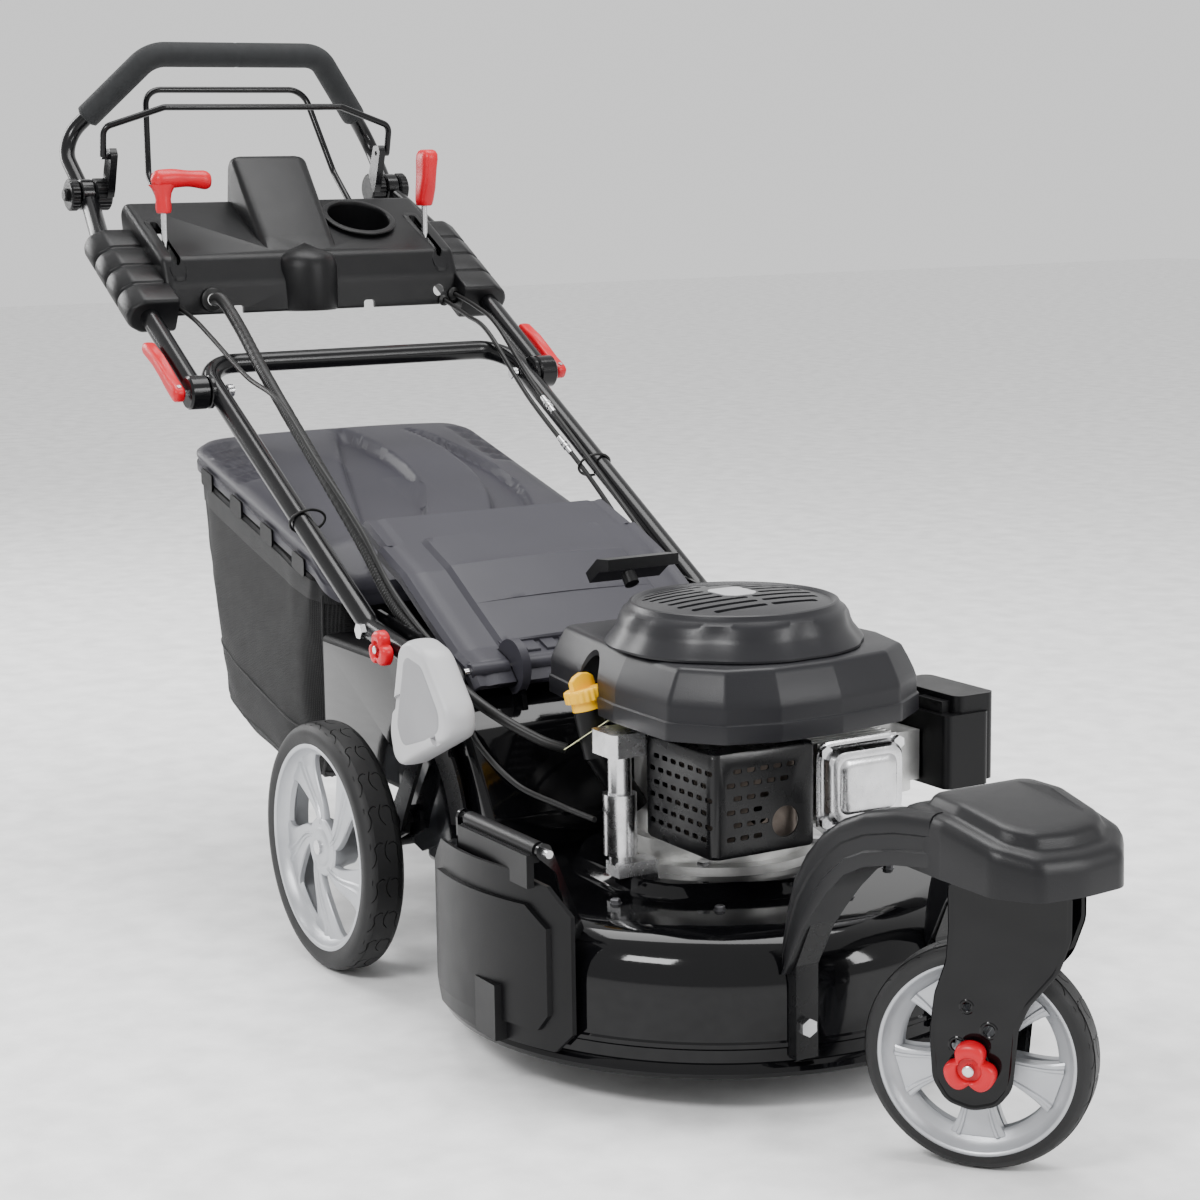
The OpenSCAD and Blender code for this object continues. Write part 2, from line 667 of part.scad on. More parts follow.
module carburettor() color("#8d8f92") place() difference() {
    union() {
        translate([470, 134, 262]) cube([44, 34, 52]);
        translate([492, 151, 250]) cylinder(h = 14, r = 18);
    }
    translate([492, 125, 292]) rotate([-90, 0, 0]) cylinder(h = 50, r = 9);
}
module air_box() color("#101012") place() difference() {
    union() {
        round_block(456, 556, 170, 226, 258, 334, 8);
        round_block(440, 552, 186, 236, 262, 352, 10);
        translate([500, 176, 330]) cube([40, 40, 16]);
    }
    round_block(460, 552, 174, 222, 262, 330, 6);
}
// Fuel tank beside the flywheel, with its filler neck and the cap on top of the shroud
neck_p = [292, 102];
module fuel_tank() color("#e4e2da") place() difference() {
    union() {
        difference() {
            round_block(254, 366, -20, 128, 345, 388, 18);
            at_crank() cylinder(h = 600, r = 92);
        }
        translate([neck_p[0], neck_p[1], 386]) cylinder(h = 36, r = 18);
    }
    difference() {
        round_block(257, 363, -17, 125, 348, 385, 15);
        at_crank() cylinder(h = 600, r = 95);
    }
    translate([neck_p[0], neck_p[1], 380]) cylinder(h = 60, r = 15);
}
module fuel_cap() color("#151517") place() difference() {
    translate([neck_p[0], neck_p[1], 414]) cylinder(h = 18, r = 25);
    translate([neck_p[0], neck_p[1], 400]) cylinder(h = 23, r = 18 + run_gap);
}

// Plan outline of the lower shroud, offset inwards by t
module shroud_plan(t) {
    offset(delta = -t) polygon([
        [232, -96], [246, -116], [300, -124], [420, -140], [520, -140], [566, -104], [584, -50],
        [586, 20], [574, 100], [540, 148], [470, 166], [330, 160], [262, 140], [232, 110]
    ]);
}
shroud_low = 342;
shroud_top = 412;
module engine_shroud() color("#2c2c30") place() difference() {
    hull() {
        translate([0, 0, shroud_low]) linear_extrude(38) shroud_plan(0);
        translate([0, 0, shroud_top - 1]) linear_extrude(1) shroud_plan(16);
    }
    hull() {
        translate([0, 0, shroud_low - 1]) linear_extrude(38) shroud_plan(4);
        translate([0, 0, shroud_top - 6]) linear_extrude(1) shroud_plan(19);
    }
    at_crank() translate([0, 0, 300]) cylinder(h = 200, r = 104);
    translate([neck_p[0], neck_p[1], 380]) cylinder(h = 40, r = 18 + gap);
    // room for the oil cap to turn
    on_oil_axis(-40) cylinder(h = 120, r = 24);
}
cowl_r = 132;
module engine_cowl() color("#303034") place() difference() {
    translate([dome_x, 0, 0]) rotate_extrude($fn = 96) polygon([
        [0, cowl_top], [60, cowl_top - 2], [98, cowl_top - 8], [112, cowl_top - 16],
        [cowl_r, shroud_top + 0.2], [cowl_r - 4, shroud_top + 0.2], [108, cowl_top - 18],
        [96, cowl_top - 12], [60, cowl_top - 6], [0, cowl_top - 4]
    ]);
    // curved slots that let the cooling air in
    for (k = [0 : 8]) translate([dome_x - 80 + 10 * k, 0, cowl_top - 20]) difference() {
        cylinder(h = 40, r = 70 + 3 * k);
        translate([0, 0, -1]) cylinder(h = 42, r = 65 + 3 * k);
        translate([-200, -200, -1]) cube([200 + 18, 400, 42]);
    }
}

oil_p = [366, -126];
module oil_filler() color("#121214") place() difference() {
    union() {
        bar([oil_p[0] + 14, oil_p[1] + 34, 240], [oil_p[0], oil_p[1], 300], 15);
        bar([oil_p[0], oil_p[1], 296], [oil_p[0] - 10, oil_p[1] - 8, 352], 15);
    }
    bar([oil_p[0], oil_p[1], 300], [oil_p[0] - 10.4, oil_p[1] - 8.4, 354], 11);
    at_crank() cylinder(h = 500, r = 84);
}
oil_top = [oil_p[0] - 10, oil_p[1] - 8, 352];
oil_axis = unit([-10, -8, 56]);
module on_oil_axis(up) {
    translate(oil_top + up * oil_axis)
        rotate([0, acos(oil_axis[2]), atan2(oil_axis[1], oil_axis[0])]) children();
}
module oil_cap() color("#e8b60c") place() difference() {
    union() {
        on_oil_axis(-8) cylinder(h = 22, r = 21);
        on_oil_axis(12) translate([-17, -5, 0]) cube([34, 10, 18]);
    }
    on_oil_axis(-9) cylinder(h = 10, r = 15 + gap);
}
module oil_tag() color("#e9e6b4") place() difference() {
    on_oil_axis(-32) rotate([0, 22, 0]) translate([-44, -26, 0]) cube([70, 52, 0.8]);
    on_oil_axis(-60) cylinder(h = 60, r = 20);
}
module starter_motor() color("#b9bbbd") place() difference() {
    union() {
    translate([424, -136, seat_z + 22]) cylinder(h = 62, r = 17);
    translate([424, -136, seat_z + 83]) cylinder(h = 50, r = 12);
    round_block(404, 450, -158, -116, 312, 336, 6);
    translate([424, -136, seat_z + 12]) cylinder(h = 12, r = 12);
    translate([412, -146, seat_z]) cube([26, 46, 14]);
    }
    at_crank() cylinder(h = seat_z + 9, r = 112);
    at_crank() cylinder(h = 500, r = 96);
}

// ---- Crankshaft group: turns about the upright axis -------------------

blade_z = deck_low + 42;
module crankshaft() color("#9a9c9f") place() difference() {
    at_crank() union() {
        translate([0, 0, blade_z + 14]) cylinder(h = case_top + 50 - blade_z - 14, r = crank_d / 2);
        // two webs and their counterweights
        for (z = [240, 292]) translate([0, 0, z]) linear_extrude(14)
            polygon([[-44, -30], [-20, -44], [24, -16], [44, -14], [44, 14], [24, 16], [-20, 44],
                     [-44, 30]]);
        translate([32, 0, 250]) cylinder(h = 48, r = 11);
        // pulley that drives the belt, keyed to the shaft
        pulley(0, belt_z, crank_root);
    }
    // the shaft stops between its two webs
    at_crank() translate([0, 0, 254]) intersection() {
        cylinder(h = 38, r = crank_d / 2 + 1);
        translate([-20, -20, 0]) cube([40, 40, 38]);
    }
}
module flywheel() color("#7d7f82") place() difference() {
    at_crank() union() {
        translate([0, 0, case_top + 8]) cylinder(h = 16, r = 84);
        for (k = [0 : 17]) rotate(20 * k) translate([52, -1.5, case_top + 23]) cube([28, 3, 20]);
    }
    at_crank() cylinder(h = 500, r = crank_d / 2);
}
module blade_holder() color("#55575a") place() difference() {
    at_crank() union() {
        translate([0, 0, blade_z + 6]) cylinder(h = 34, r = 22);
        translate([0, 0, blade_z + 5]) cylinder(h = 6, r = 36);
        translate([0, 0, blade_z - 12]) cylinder(h = 10, r = 11, $fn = 6);
        translate([0, 0, blade_z - 4]) cylinder(h = 14, r = 7);
    }
    at_crank() translate([0, 0, blade_z + 14]) cylinder(h = 60, r = crank_d / 2);
}
module blade() color("#6b6d70") place() difference() {
    translate([deck_x, 0, blade_z]) {
        translate([-blade_l / 2, -28, 0]) cube([blade_l, 56, 5]);
        for (s = [0, 180]) rotate(s) translate([blade_l / 2 - 110, 20, 4]) rotate([38, 0, 0])
            cube([100, 26, 4]);
    }
    translate([deck_x, 0, blade_z - 5]) cylinder(h = 20, r = 7);
}
module recoil_handle() color("#141416") place() {
    translate([248, -12, 446]) rotate([0, -40, 0]) cylinder(h = 14, r = 8);
    slab(-40, 48, [
        [206, 444], [226, 458], [246, 462], [246, 474], [222, 472], [198, 454]
    ]);
}

// ---- Flaps ------------------------------------------------------------

flap_low = deck_low + 14;
module side_flap() color("#1a1a1c") place() difference() {
    union() {
        intersection() {
            translate([deck_x, 0, flap_low]) difference() {
                cylinder(h = 172, r = flap_y + 7, $fn = 128);
                translate([0, 0, -1]) cylinder(h = 182, r = flap_y + 3, $fn = 128);
            }
            slab(-400, 0, [
                [298, flap_low + 20], [318, flap_low], [516, flap_low], [534, flap_low + 20],
                [534, 190], [510, 216], [470, 226], [330, 226], [298, 196]
            ]);
        }
        intersection() {
            translate([deck_x, 0, flap_low + 20]) difference() {
                cylinder(h = 130, r = flap_y + 12, $fn = 128);
                translate([0, 0, -1]) cylinder(h = 132, r = flap_y + 6, $fn = 128);
            }
            slab(-400, 0, [[330, 70], [500, 70], [514, 90], [514, 176], [490, 196], [330, 196]]);
        }
        // latch block
        translate([418, -flap_out_y, flap_low]) cube([40, 30, 56]);
        // web up to the hinge sleeve, which runs fore and aft
        slab(-deck_r - 2, -deck_r + 6, [[360, 214], [500, 214], [500, 246], [360, 246]]);
        translate([360, flap_hinge[1], flap_hinge[2]]) rotate([0, 90, 0]) cylinder(h = 140, r = 8);
        slab(flap_hinge[1] - 10, flap_hinge[1], [[360, 238], [500, 238], [500, 247], [360, 247]]);
    }
    translate([350, flap_hinge[1], flap_hinge[2]]) rotate([0, 90, 0]) cylinder(h = 160, r = 4 + run_gap);
    translate([deck_x, 0, 0]) cylinder(h = 224, r = deck_r + 4, $fn = 128);
}

door_half = lower_w / 2 - tube_d / 2 - 19.5;
module rear_flap() color("#3a3a42") place() difference() {
    union() {
        slab(-door_half + 6, door_half - 6, [
            [184, 342], [189, 350], [168, 366], [140, 374], [20, 442], [-100, 488], [-112, 484],
            [-108, 474], [16, 428], [130, 363], [172, 350], [179, 340]
        ]);
        both_sides() slab(door_half - 10, door_half - 6, [
            [184, 342], [189, 350], [168, 366], [140, 374], [20, 442], [-100, 488], [-112, 484],
            [-112, 455], [10, 400], [122, 364], [178, 340]
        ]);
        both_sides() y_pin(door_hinge[0], door_hinge[1], door_half - 60, door_half - 6, 9);
    }
    y_pin(door_hinge[0], door_hinge[1], -300, 300, 4 + run_gap);
    // gaps round the chute's two ears
    both_sides() y_pin(door_hinge[0], door_hinge[1], ear_y - 1, ear_y + 9, 30);
}

// ---- Grass bag --------------------------------------------------------

bag_front = chute_end - 8;
bag_rear = bag_front - bag_l;
// Height of the bag's rim at x: it climbs towards the rear
function rim_at(x) = 430 - 0.26 * (x - bag_front);
module bag_top() color("#2c2c31") place() difference() {
    half = bag_w / 2;
    intersection() {
        slab(-half, half, [
            [bag_rear, rim_at(bag_rear) - 14], [bag_front + 2, rim_at(bag_front) - 22],
            [bag_front + 52, rim_at(bag_front) - 34], [bag_front + 52, rim_at(bag_front) - 6],
            [bag_front, rim_at(bag_front) + 14], [bag_rear + 60, rim_at(bag_rear) + 34],
            [bag_rear + 8, rim_at(bag_rear) + 26], [bag_rear, rim_at(bag_rear) + 10]
        ]);
        round_block(bag_rear, bag_front + 60, -half, half, 0, 700, 28);
    }
    intersection() {
        slab(-half + bag_t, half - bag_t, [
            [bag_rear + bag_t, rim_at(bag_rear) - 30], [bag_front + 60, rim_at(bag_front) - 60],
            [bag_front + 60, rim_at(bag_front) - 12], [bag_front, rim_at(bag_front) + 10],
            [bag_rear + 60, rim_at(bag_rear) + 30], [bag_rear + bag_t, rim_at(bag_rear) + 8]
        ]);
        round_block(bag_rear + bag_t, bag_front + 90, -half + bag_t, half - bag_t, 0, 700, 24);
    }
    // vents in two curved rows
    for (row = [0 : 1], s = [-1, 1]) translate([bag_front - 120 - 90 * row, 40 * s, 440])
        round_block(0, 26, s > 0 ? 0 : -110, s > 0 ? 110 : 0, 0, 200, 10);
}
function bag_side(t) = [
    [bag_front, rim_at(bag_front) - 22.5], [bag_front, 236], [bag_front - 60, 160 + t],
    [bag_front - 140, 140 + t], [bag_rear + 60 + t, 186 + t], [bag_rear + 36 + t, 230 + t],
    [bag_rear + t, rim_at(bag_rear) - 60], [bag_rear + t, rim_at(bag_rear) - 14.5]
];
module bag_fabric() color("#1b1b1d") place() difference() {
    half = bag_w / 2;
    slab(-half, half, bag_side(0));
    translate([0.1, 0, 0.1]) slab(-half + bag_t, half - bag_t, concat(
        [[bag_front + 1, rim_at(bag_front) + 10]], [[bag_front + 1, 240]],
        [for (k = [2 : 7]) bag_side(bag_t)[k]],
        [[bag_rear + bag_t, rim_at(bag_rear) + 10]]
    ));
}

// ---- Handle -----------------------------------------------------------

tube_r = tube_d / 2;
wall = 1.8;
lw = lower_w / 2;
uw = upper_w / 2;
disc_r = 21;
function on_handle(s, y, up = 0) = [
    fold_p[0] + s * upper_dir[0] + up * cos(upper_a - 90),
    y,
    fold_p[1] + s * upper_dir[1] + up * sin(upper_a - 90)
];
function lower_line(far) = [
    [far, -lw, 372 - (far - 118) / 6], [30, -lw, 386], on_handle(58, -lw), on_handle(58, lw),
    [30, lw, 386], [far, lw, 372 - (far - 118) / 6]
];
module lower_handle() color("#111113") place() difference() {
    union() {
        bent_bar(lower_line(118), tube_r, 46);
        both_sides() y_pin(fold_p[0], fold_p[1], uw - tube_r - 7, uw - tube_r - 0.6, disc_r);
        both_sides() y_pin(fold_p[0], fold_p[1], lw + 2, uw - tube_r - 6.9, 12);
    }
    bent_bar(lower_line(124), tube_r - wall, 46);
    both_sides() y_pin(foot_rear[0], foot_rear[1], lw, lw + 40, 4);
    both_sides() y_pin(fold_p[0], fold_p[1], 100, 300, 4 + run_gap);
}
module lower_knobs() color("#cf1626") place() both_sides() difference() {
    union() {
        y_pin(foot_front[0], foot_front[1], lw + tube_r, lw + tube_r + 12, 14);
        translate([foot_front[0] - 20, lw + tube_r + 4, foot_front[1] - 5]) cube([40, 12, 10]);
    }
    y_pin(foot_front[0], foot_front[1], lw + tube_r - 1, lw + tube_r + 8, 4);
}
// Pin that the clamp lever turns on, at the outer end of the clamp bolt
flip_y = uw + tube_r + 12;
flip_n = [cos(upper_a - 90), 0, sin(upper_a - 90)];
function flip_pin(s) = [fold_p[0], flip_y, fold_p[1]] + s * flip_n;
module upper_handle() color("#111113") place() both_sides() {
    difference() {
        union() {
            bent_bar([
                on_handle(-14, uw), on_handle(upper_l - 110, uw), on_handle(upper_l - 26, gw)
            ], tube_r, 120);
            y_pin(fold_p[0], fold_p[1], uw - tube_r, uw + tube_r + 1, disc_r);
            // eye that the grip turns on
            y_pin(grip_p[0], grip_p[1], gw - 10, gw + 9, 21);
        }
        bent_bar([
            on_handle(-40, uw), on_handle(upper_l - 110, uw), on_handle(upper_l - 30, gw + 1)
        ], tube_r - wall, 120);
        y_pin(grip_p[0], grip_p[1], 100, 300, 5 + run_gap);
    }
    // clamp bolt through both tubes, and the lever's pin
    y_pin(fold_p[0], fold_p[1], lw - 22, flip_y, 4);
    y_pin(fold_p[0], fold_p[1], lw - 22, lw - tube_r - 1, 8);
    bar(flip_pin(-11), flip_pin(11), 3);
}
module cam_lever() difference() {
    union() {
        bar(flip_pin(-11), flip_pin(11), 10);
        translate([fold_p[0], flip_y - 8, fold_p[1]]) rotate([0, -upper_a, 0])
            rotate([-90, 0, 0]) linear_extrude(16) polygon([
                [0, -9], [60, -8], [105, -12], [112, -4], [108, 8], [60, 12], [0, 9]
            ]);
    }
    bar(flip_pin(-14), flip_pin(14), 3 + run_gap);
    // slot for the bolt's end
    translate([fold_p[0], flip_y, fold_p[1]]) rotate([0, -upper_a, 0])
        translate([-30, -30, -4.6]) cube([35, 35, 9.2]);
}
module cam_lever_right() color("#d01425") place() mirror([0, 1, 0]) cam_lever();
module cam_lever_left() color("#d01425") place() cam_lever();

// ---- Control console --------------------------------------------------

// Side outline of the console, offset inwards by t
function console_side(t) = [
    [-560 - t, 700 + (t > 0 ? -20 : 0)], [-577 - t, 776 - t], [-706, 846 - t],
    [-724 + t, 836 - t], [-716 + t, 794 + (t > 0 ? -20 : 0)]
];
console_w = 420;
cup_p = [-652, 104, 817];
cup_tilt = -26;
module at_cup() { translate(cup_p) rotate([0, -cup_tilt, 0]) children(); }
slot_x = [-656, -570];
throttle_y = -190;
speed_y = 186;
pivot_x = -616;
pivot_z = 752;
module console_shell() difference() {
    union() {
        slab(-console_w / 2, console_w / 2, console_side(0));
        // raised tongue and the half cylinder below its tip
        slab(-62, 46, [[-566, 704], [-578, 772], [-600, 800], [-694, 908], [-712, 900], [-720, 836]]);
        intersection() {
            translate([-582, -8, 702]) cylinder(h = 70, r = 42);
            translate([-596, -60, 702]) cube([80, 110, 70]);
        }
    }
    slab(-console_w / 2 + 3, console_w / 2 - 3, console_side(3));
    slab(-59, 43, [[-572, 690], [-582, 770], [-604, 796], [-694, 902], [-716, 830]]);
    translate([-582, -8, 690]) cylinder(h = 78, r = 39);
    for (y = [throttle_y, speed_y]) translate([slot_x[0], y - 5, 740])
        cube([slot_x[1] - slot_x[0], 10, 120]);
    // conduit and cable outlets
    translate([-590, -150, 722]) rotate([0, 90, 0]) cylinder(h = 60, r = 13);
    translate([-590, 178, 722]) rotate([0, 90, 0]) cylinder(h = 60, r = 8);
}
module console() color("#28282b") place() {
    difference() {
        union() {
            console_shell();
            at_cup() translate([0, 0, -cup_depth - 3]) cylinder(h = cup_depth + 5, r = cup_d / 2 + 3);
            at_cup() translate([0, 0, -3]) cylinder(h = 8, r = cup_d / 2 + 7);
        }
        at_cup() translate([0, 0, -cup_depth]) cylinder(h = cup_depth + 40, r = cup_d / 2);
    }
    // cheeks that the two levers turn in, and lugs for the drive bail
    for (y = [throttle_y, speed_y], s = [-1, 1]) difference() {
        slab(y + 12 * s - 2.5, y + 12 * s + 2.5, [
            [-632, 738], [-600, 738], [-600, 785], [-632, 802]
        ]);
        y_pin(pivot_x, pivot_z, y - 20, y + 20, 7 + run_gap);
    }
    both_sides() difference() {
        slab(144, 150, [[-714, 804], [-712, 838], [-738, 838], [-744, 826], [-738, 814]]);
        y_pin(-734, 826, 140, 160, 4 + run_gap);
    }
    // ribbed end caps over the tubes
    both_sides() difference() {
        translate(on_handle(172, 0)) rotate([0, -upper_a, 0]) intersection() {
            translate([0, console_w / 2 - 8, -26]) cube([178, 64, 50]);
            translate([0, uw - 4, 0]) rotate([0, 90, 0]) cylinder(h = 178, r = 34);
        }
        bar(on_handle(150, uw), on_handle(400, uw), tube_r + 0.2);
        for (k = [1 : 3]) translate(on_handle(172 + 44 * k, 0)) rotate([0, -upper_a, 0])
            translate([-2, 0, 0]) difference() {
                translate([0, console_w / 2 - 12, -40]) cube([4, 80, 80]);
                translate([-1, uw - 4, 0]) rotate([0, 90, 0]) cylinder(h = 6, r = 32);
                translate([-1, console_w / 2 - 12, -23]) cube([6, 66, 44]);
            }
    }
}
module control_lever(y) {
    y_pin(pivot_x, pivot_z, y - 14, y + 14, 7);
    y_pin(pivot_x, pivot_z, y - 3, y + 3, 16);
    bar([pivot_x, y, pivot_z], [pivot_x + 2, y, 836], 4);
}
module throttle_lever() color("#d01425") place() {
    control_lever(throttle_y);
    translate([pivot_x + 2, throttle_y, 832]) cylinder(h = 40, r = 12);
    translate([pivot_x + 2, 0, 872]) rotate([90, 0, 0])
        translate([0, 0, -throttle_y - 16]) linear_extrude(84) round_plan(-13, 13, -12, 16, 10);
}
module speed_lever() color("#d01425") place() {
    control_lever(speed_y);
    slab(speed_y - 12, speed_y + 12, [
        [-624, 834], [-604, 834], [-592, 860], [-584, 900], [-592, 910], [-618, 908], [-624, 890]
    ]);
}

// ---- Grip, bails ------------------------------------------------------

gw = grip_w / 2;
bail_p = [-776, 906];
loop_low = [grip_p[0] - loop_back, gw + 5, 925];
loop_high = [-811, 124, 1042];
function other_side(p) = [p[0], -p[1], p[2]];
loop_end = [grip_p[0] - 4, gw, grip_p[1]];
loop_line = [
    other_side(loop_end), other_side(loop_low), other_side(loop_high), loop_high, loop_low, loop_end
];
module grip_loop() color("#111113") place() difference() {
    union() {
        bent_bar(loop_line, tube_r - 2, 44);
        // channel brackets that carry the engine bail
        both_sides() slab(gw - 34, gw - 24, [
            [grip_p[0] + 2, grip_p[1] - 6], [grip_p[0] + 28, grip_p[1] + 6], [-764, 908],
            [-770, 918], [-784, 916], [-790, 902]
        ]);
    }
    both_sides() y_pin(grip_p[0], grip_p[1], gw - 35, gw + 25, 24);
    both_sides() y_pin(bail_p[0], bail_p[1], gw - 40, gw - 10, 4 + run_gap);
    bent_bar(loop_line, tube_r - 4, 44);
}
module angle_adjusters() color("#0f0f11") place() both_sides() {
        y_pin(grip_p[0], grip_p[1], gw + 10, gw + 24, 22);
        y_pin(grip_p[0], grip_p[1], gw - 34, gw - 11, 22);
        y_pin(grip_p[0], grip_p[1], gw + 20, gw + 30, 9);
        y_pin(grip_p[0], grip_p[1], gw - 40, gw + 26, 5);
}
// The foam's centre line, reaching a length down each of the loop's sides
function foam_line(reach) = [
    other_side(loop_high + reach * unit(loop_low - loop_high)), other_side(loop_high), loop_high,
    loop_high + reach * unit(loop_low - loop_high)
];
module foam_grip() color("#34363a") place() difference() {
    bent_bar(foam_line(126), foam_d / 2, 44);
    bent_bar(foam_line(135), tube_r - 1.7, 44);
}
module engine_bail() color("#17171a") place() {
        bent_bar([
            [bail_p[0], -gw + 17, bail_p[1]], [-768, -gw + 16, 944], [-752, -130, 970],
            [-752, 130, 970], [-768, gw - 16, 944], [bail_p[0], gw - 17, bail_p[1]]
        ], bail_d / 2, 14);
        both_sides() y_pin(bail_p[0], bail_p[1], gw - 34, gw - 14, 4);
}
module drive_bail() color("#17171a") place() {
    bent_bar([
        [-734, -138, 826], [-800, -138, 880], [-852, -118, 996], [-852, 118, 996], [-800, 138, 880],
        [-734, 138, 826]
    ], bail_d / 2, 26);
    both_sides() y_pin(-734, 826, 136, 152, 4);
}

// ---- Cables -----------------------------------------------------------

conduit_route = [
    [-552, -150, 722], [-520, -152, 722], [-440, -164, 694], [-330, -180, 644],
    [-240, -187, 596], [-146, -188, 536], [-45, -188, 468], [26, -188, 414], [90, -188, 385],
    [132, -188, 367], [190, -188, 342], [246, -174, 320], [286, -148, 300], [304, -128, 292]
];
throttle_route = [
    [-556, -196, 712], [-500, -198, 700], [-440, -200, 680], [-330, -202, 640],
    [-240, -200, 616], [-146, -198, 556], [-45, -192, 488], [26, -190, 430], [110, -190, 388],
    [184, -190, 364], [214, -199, 340], [246, -203, 300], [298, -186, 262], [363, -172, 251],
    [425, -166, 248]
];
bail_route = [
    [-556, 200, 716], [-500, 204, 700], [-440, 202, 678], [-330, 196, 606], [-180, 192, 520],
    [-60, 189, 450], [26, 188, 402], [110, 188, 364], [180, 187, 350], [236, 166, 356]
];
drive_route = [
    [-556, 184, 708], [-500, 188, 690], [-440, 188, 670], [-330, 188, 590], [-180, 190, 500],
    [-60, 194, 412], [-24, 198, 378], [0, 205, 350], [20, 205, 290], [32, 205, 226],
    [42, 196, 178], [52, 120, 132], [58, 34, 125]
];
module conduit() color("#1c1c1e") place() cable(smooth(conduit_route, 3), 8, 12);
module control_cables() color("#121214") place() {
    cable(smooth(throttle_route, 2), 3);
    cable(smooth(bail_route, 2), 3);
    cable(smooth(drive_route, 2), 3);
}

// Bolts that show on the outside, and the two hinge rods
module hex_head(r) { cylinder(h = r * 0.8, r = r * 1.15, $fn = 6); }
module fasteners() color("#a7a9ab") place() {
    frame_bolts(21, 4);
    both_sides() translate([wall_x + 9, arm_out - 19, 90]) rotate([0, 90, 0]) hex_head(8);
    flange_bolts(-19, 3);
    for (a = [-40, 50, 140, 230]) at_crank() rotate(a) translate([104, 0, seat_z + 9]) hex_head(6);
    head_bolts(-7, 3);
    for (y = head_y_bolts, z = [246, 316]) translate([head_x + 4, y, z]) rotate([0, 90, 0])
        hex_head(6);
    // handle feet
    both_sides() {
        y_pin(foot_rear[0], foot_rear[1], lw + tube_r - 8, lw + tube_r, 4);
        translate([foot_rear[0], lw + tube_r, foot_rear[1]]) rotate([-90, 0, 0]) hex_head(8);
    }
    // side flap's rod
    translate([340, flap_hinge[1], flap_hinge[2]]) rotate([0, 90, 0]) cylinder(h = 180, r = 4);
    // rear flap's rod, through the chute's ears
    y_pin(door_hinge[0], door_hinge[1], -door_half + 7, door_half - 7, 4);
}

deck_shell();
front_frame();
front_cover();
side_plates();
height_plate();
fasteners();
engine_block();
valve_cover();
muffler();
muffler_guard();
carburettor();
air_box();
fuel_tank();
fuel_cap();
engine_shroud();
engine_cowl();
oil_filler();
oil_tag();
starter_motor();
drive_belt();
crankshaft();
flywheel();
blade_holder();
blade();
recoil_handle();
oil_cap();
axle_beam();
height_lever();
height_grip();
gearbox();
gearbox_pulley();
drive_shaft();
rear_tyre_right();
rear_hub_right();
rear_tyre_left();
rear_hub_left();
caster_fork();
front_axle();
front_knob();
front_tyre();
front_hub();
side_flap();
rear_flap();
bag_top();
bag_fabric();
lower_handle();
lower_knobs();
upper_handle();
console();
cam_lever_right();
cam_lever_left();
conduit();
control_cables();
drive_bail();
throttle_lever();
speed_lever();
grip_loop();
foam_grip();
engine_bail();
angle_adjusters();
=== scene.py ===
"""Petrol lawn mower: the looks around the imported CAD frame. Metres, +X forwards, +Y left, +Z up."""
import math

import bmesh
import bpy
from mathutils import Matrix, Vector, noise


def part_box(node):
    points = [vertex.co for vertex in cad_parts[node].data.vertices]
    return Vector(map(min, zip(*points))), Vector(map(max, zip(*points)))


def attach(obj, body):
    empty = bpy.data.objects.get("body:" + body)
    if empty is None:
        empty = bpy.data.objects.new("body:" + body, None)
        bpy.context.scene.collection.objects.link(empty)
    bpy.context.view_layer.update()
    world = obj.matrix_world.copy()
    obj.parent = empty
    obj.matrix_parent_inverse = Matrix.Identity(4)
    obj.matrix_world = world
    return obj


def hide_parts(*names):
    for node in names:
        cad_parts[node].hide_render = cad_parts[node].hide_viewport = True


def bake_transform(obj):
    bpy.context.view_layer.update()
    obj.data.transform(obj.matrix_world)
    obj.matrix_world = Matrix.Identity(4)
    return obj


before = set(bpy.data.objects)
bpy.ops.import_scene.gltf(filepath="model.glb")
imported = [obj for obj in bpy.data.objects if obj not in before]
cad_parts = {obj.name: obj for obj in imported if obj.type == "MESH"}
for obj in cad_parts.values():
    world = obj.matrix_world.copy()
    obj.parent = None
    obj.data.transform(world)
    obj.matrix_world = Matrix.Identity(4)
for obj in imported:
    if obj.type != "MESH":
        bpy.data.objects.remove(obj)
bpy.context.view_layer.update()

# ---------------------------------------------------------------- places
# Shapes are written in millimetres from the point on the ground below the rear axle.
shaft_low, shaft_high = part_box("drive_shaft")
AXLE_X = (shaft_low[0] + shaft_high[0]) / 2
AXLE_Y = (shaft_low[1] + shaft_high[1]) / 2
MM = 0.001


def at(x, y, z):
    """A point in millimetres from the axle's foot, as metres in the part's frame."""
    return Vector((AXLE_X + x * MM, AXLE_Y + y * MM, z * MM))


# ---------------------------------------------------------------- camera, light and floor
CAMERA_PLACE = (2556.0, -1409.9, 891.6)
CAMERA_ANGLES = (149.53, -9.726, -0.833)
CAMERA_LENS = 76.95


def make_camera():
    """A long lens 0.9 m up, in front of the mower and on its right."""
    yaw, pitch, roll = (math.radians(a) for a in CAMERA_ANGLES)
    forward = Vector((math.cos(yaw) * math.cos(pitch), math.sin(yaw) * math.cos(pitch), math.sin(pitch)))
    right = forward.cross(Vector((0, 0, 1))).normalized()
    up = right.cross(forward)
    right, up = (right * math.cos(roll) + up * math.sin(roll), up * math.cos(roll) - right * math.sin(roll))
    data = bpy.data.cameras.new("camera")
    data.sensor_width = 36
    data.lens = CAMERA_LENS
    data.clip_end = 60
    camera = bpy.data.objects.new("camera", data)
    turn = Matrix((right, up, -forward)).transposed().to_4x4()
    camera.matrix_world = Matrix.Translation(at(*CAMERA_PLACE)) @ turn
    bpy.context.scene.collection.objects.link(camera)
    bpy.context.scene.camera = camera


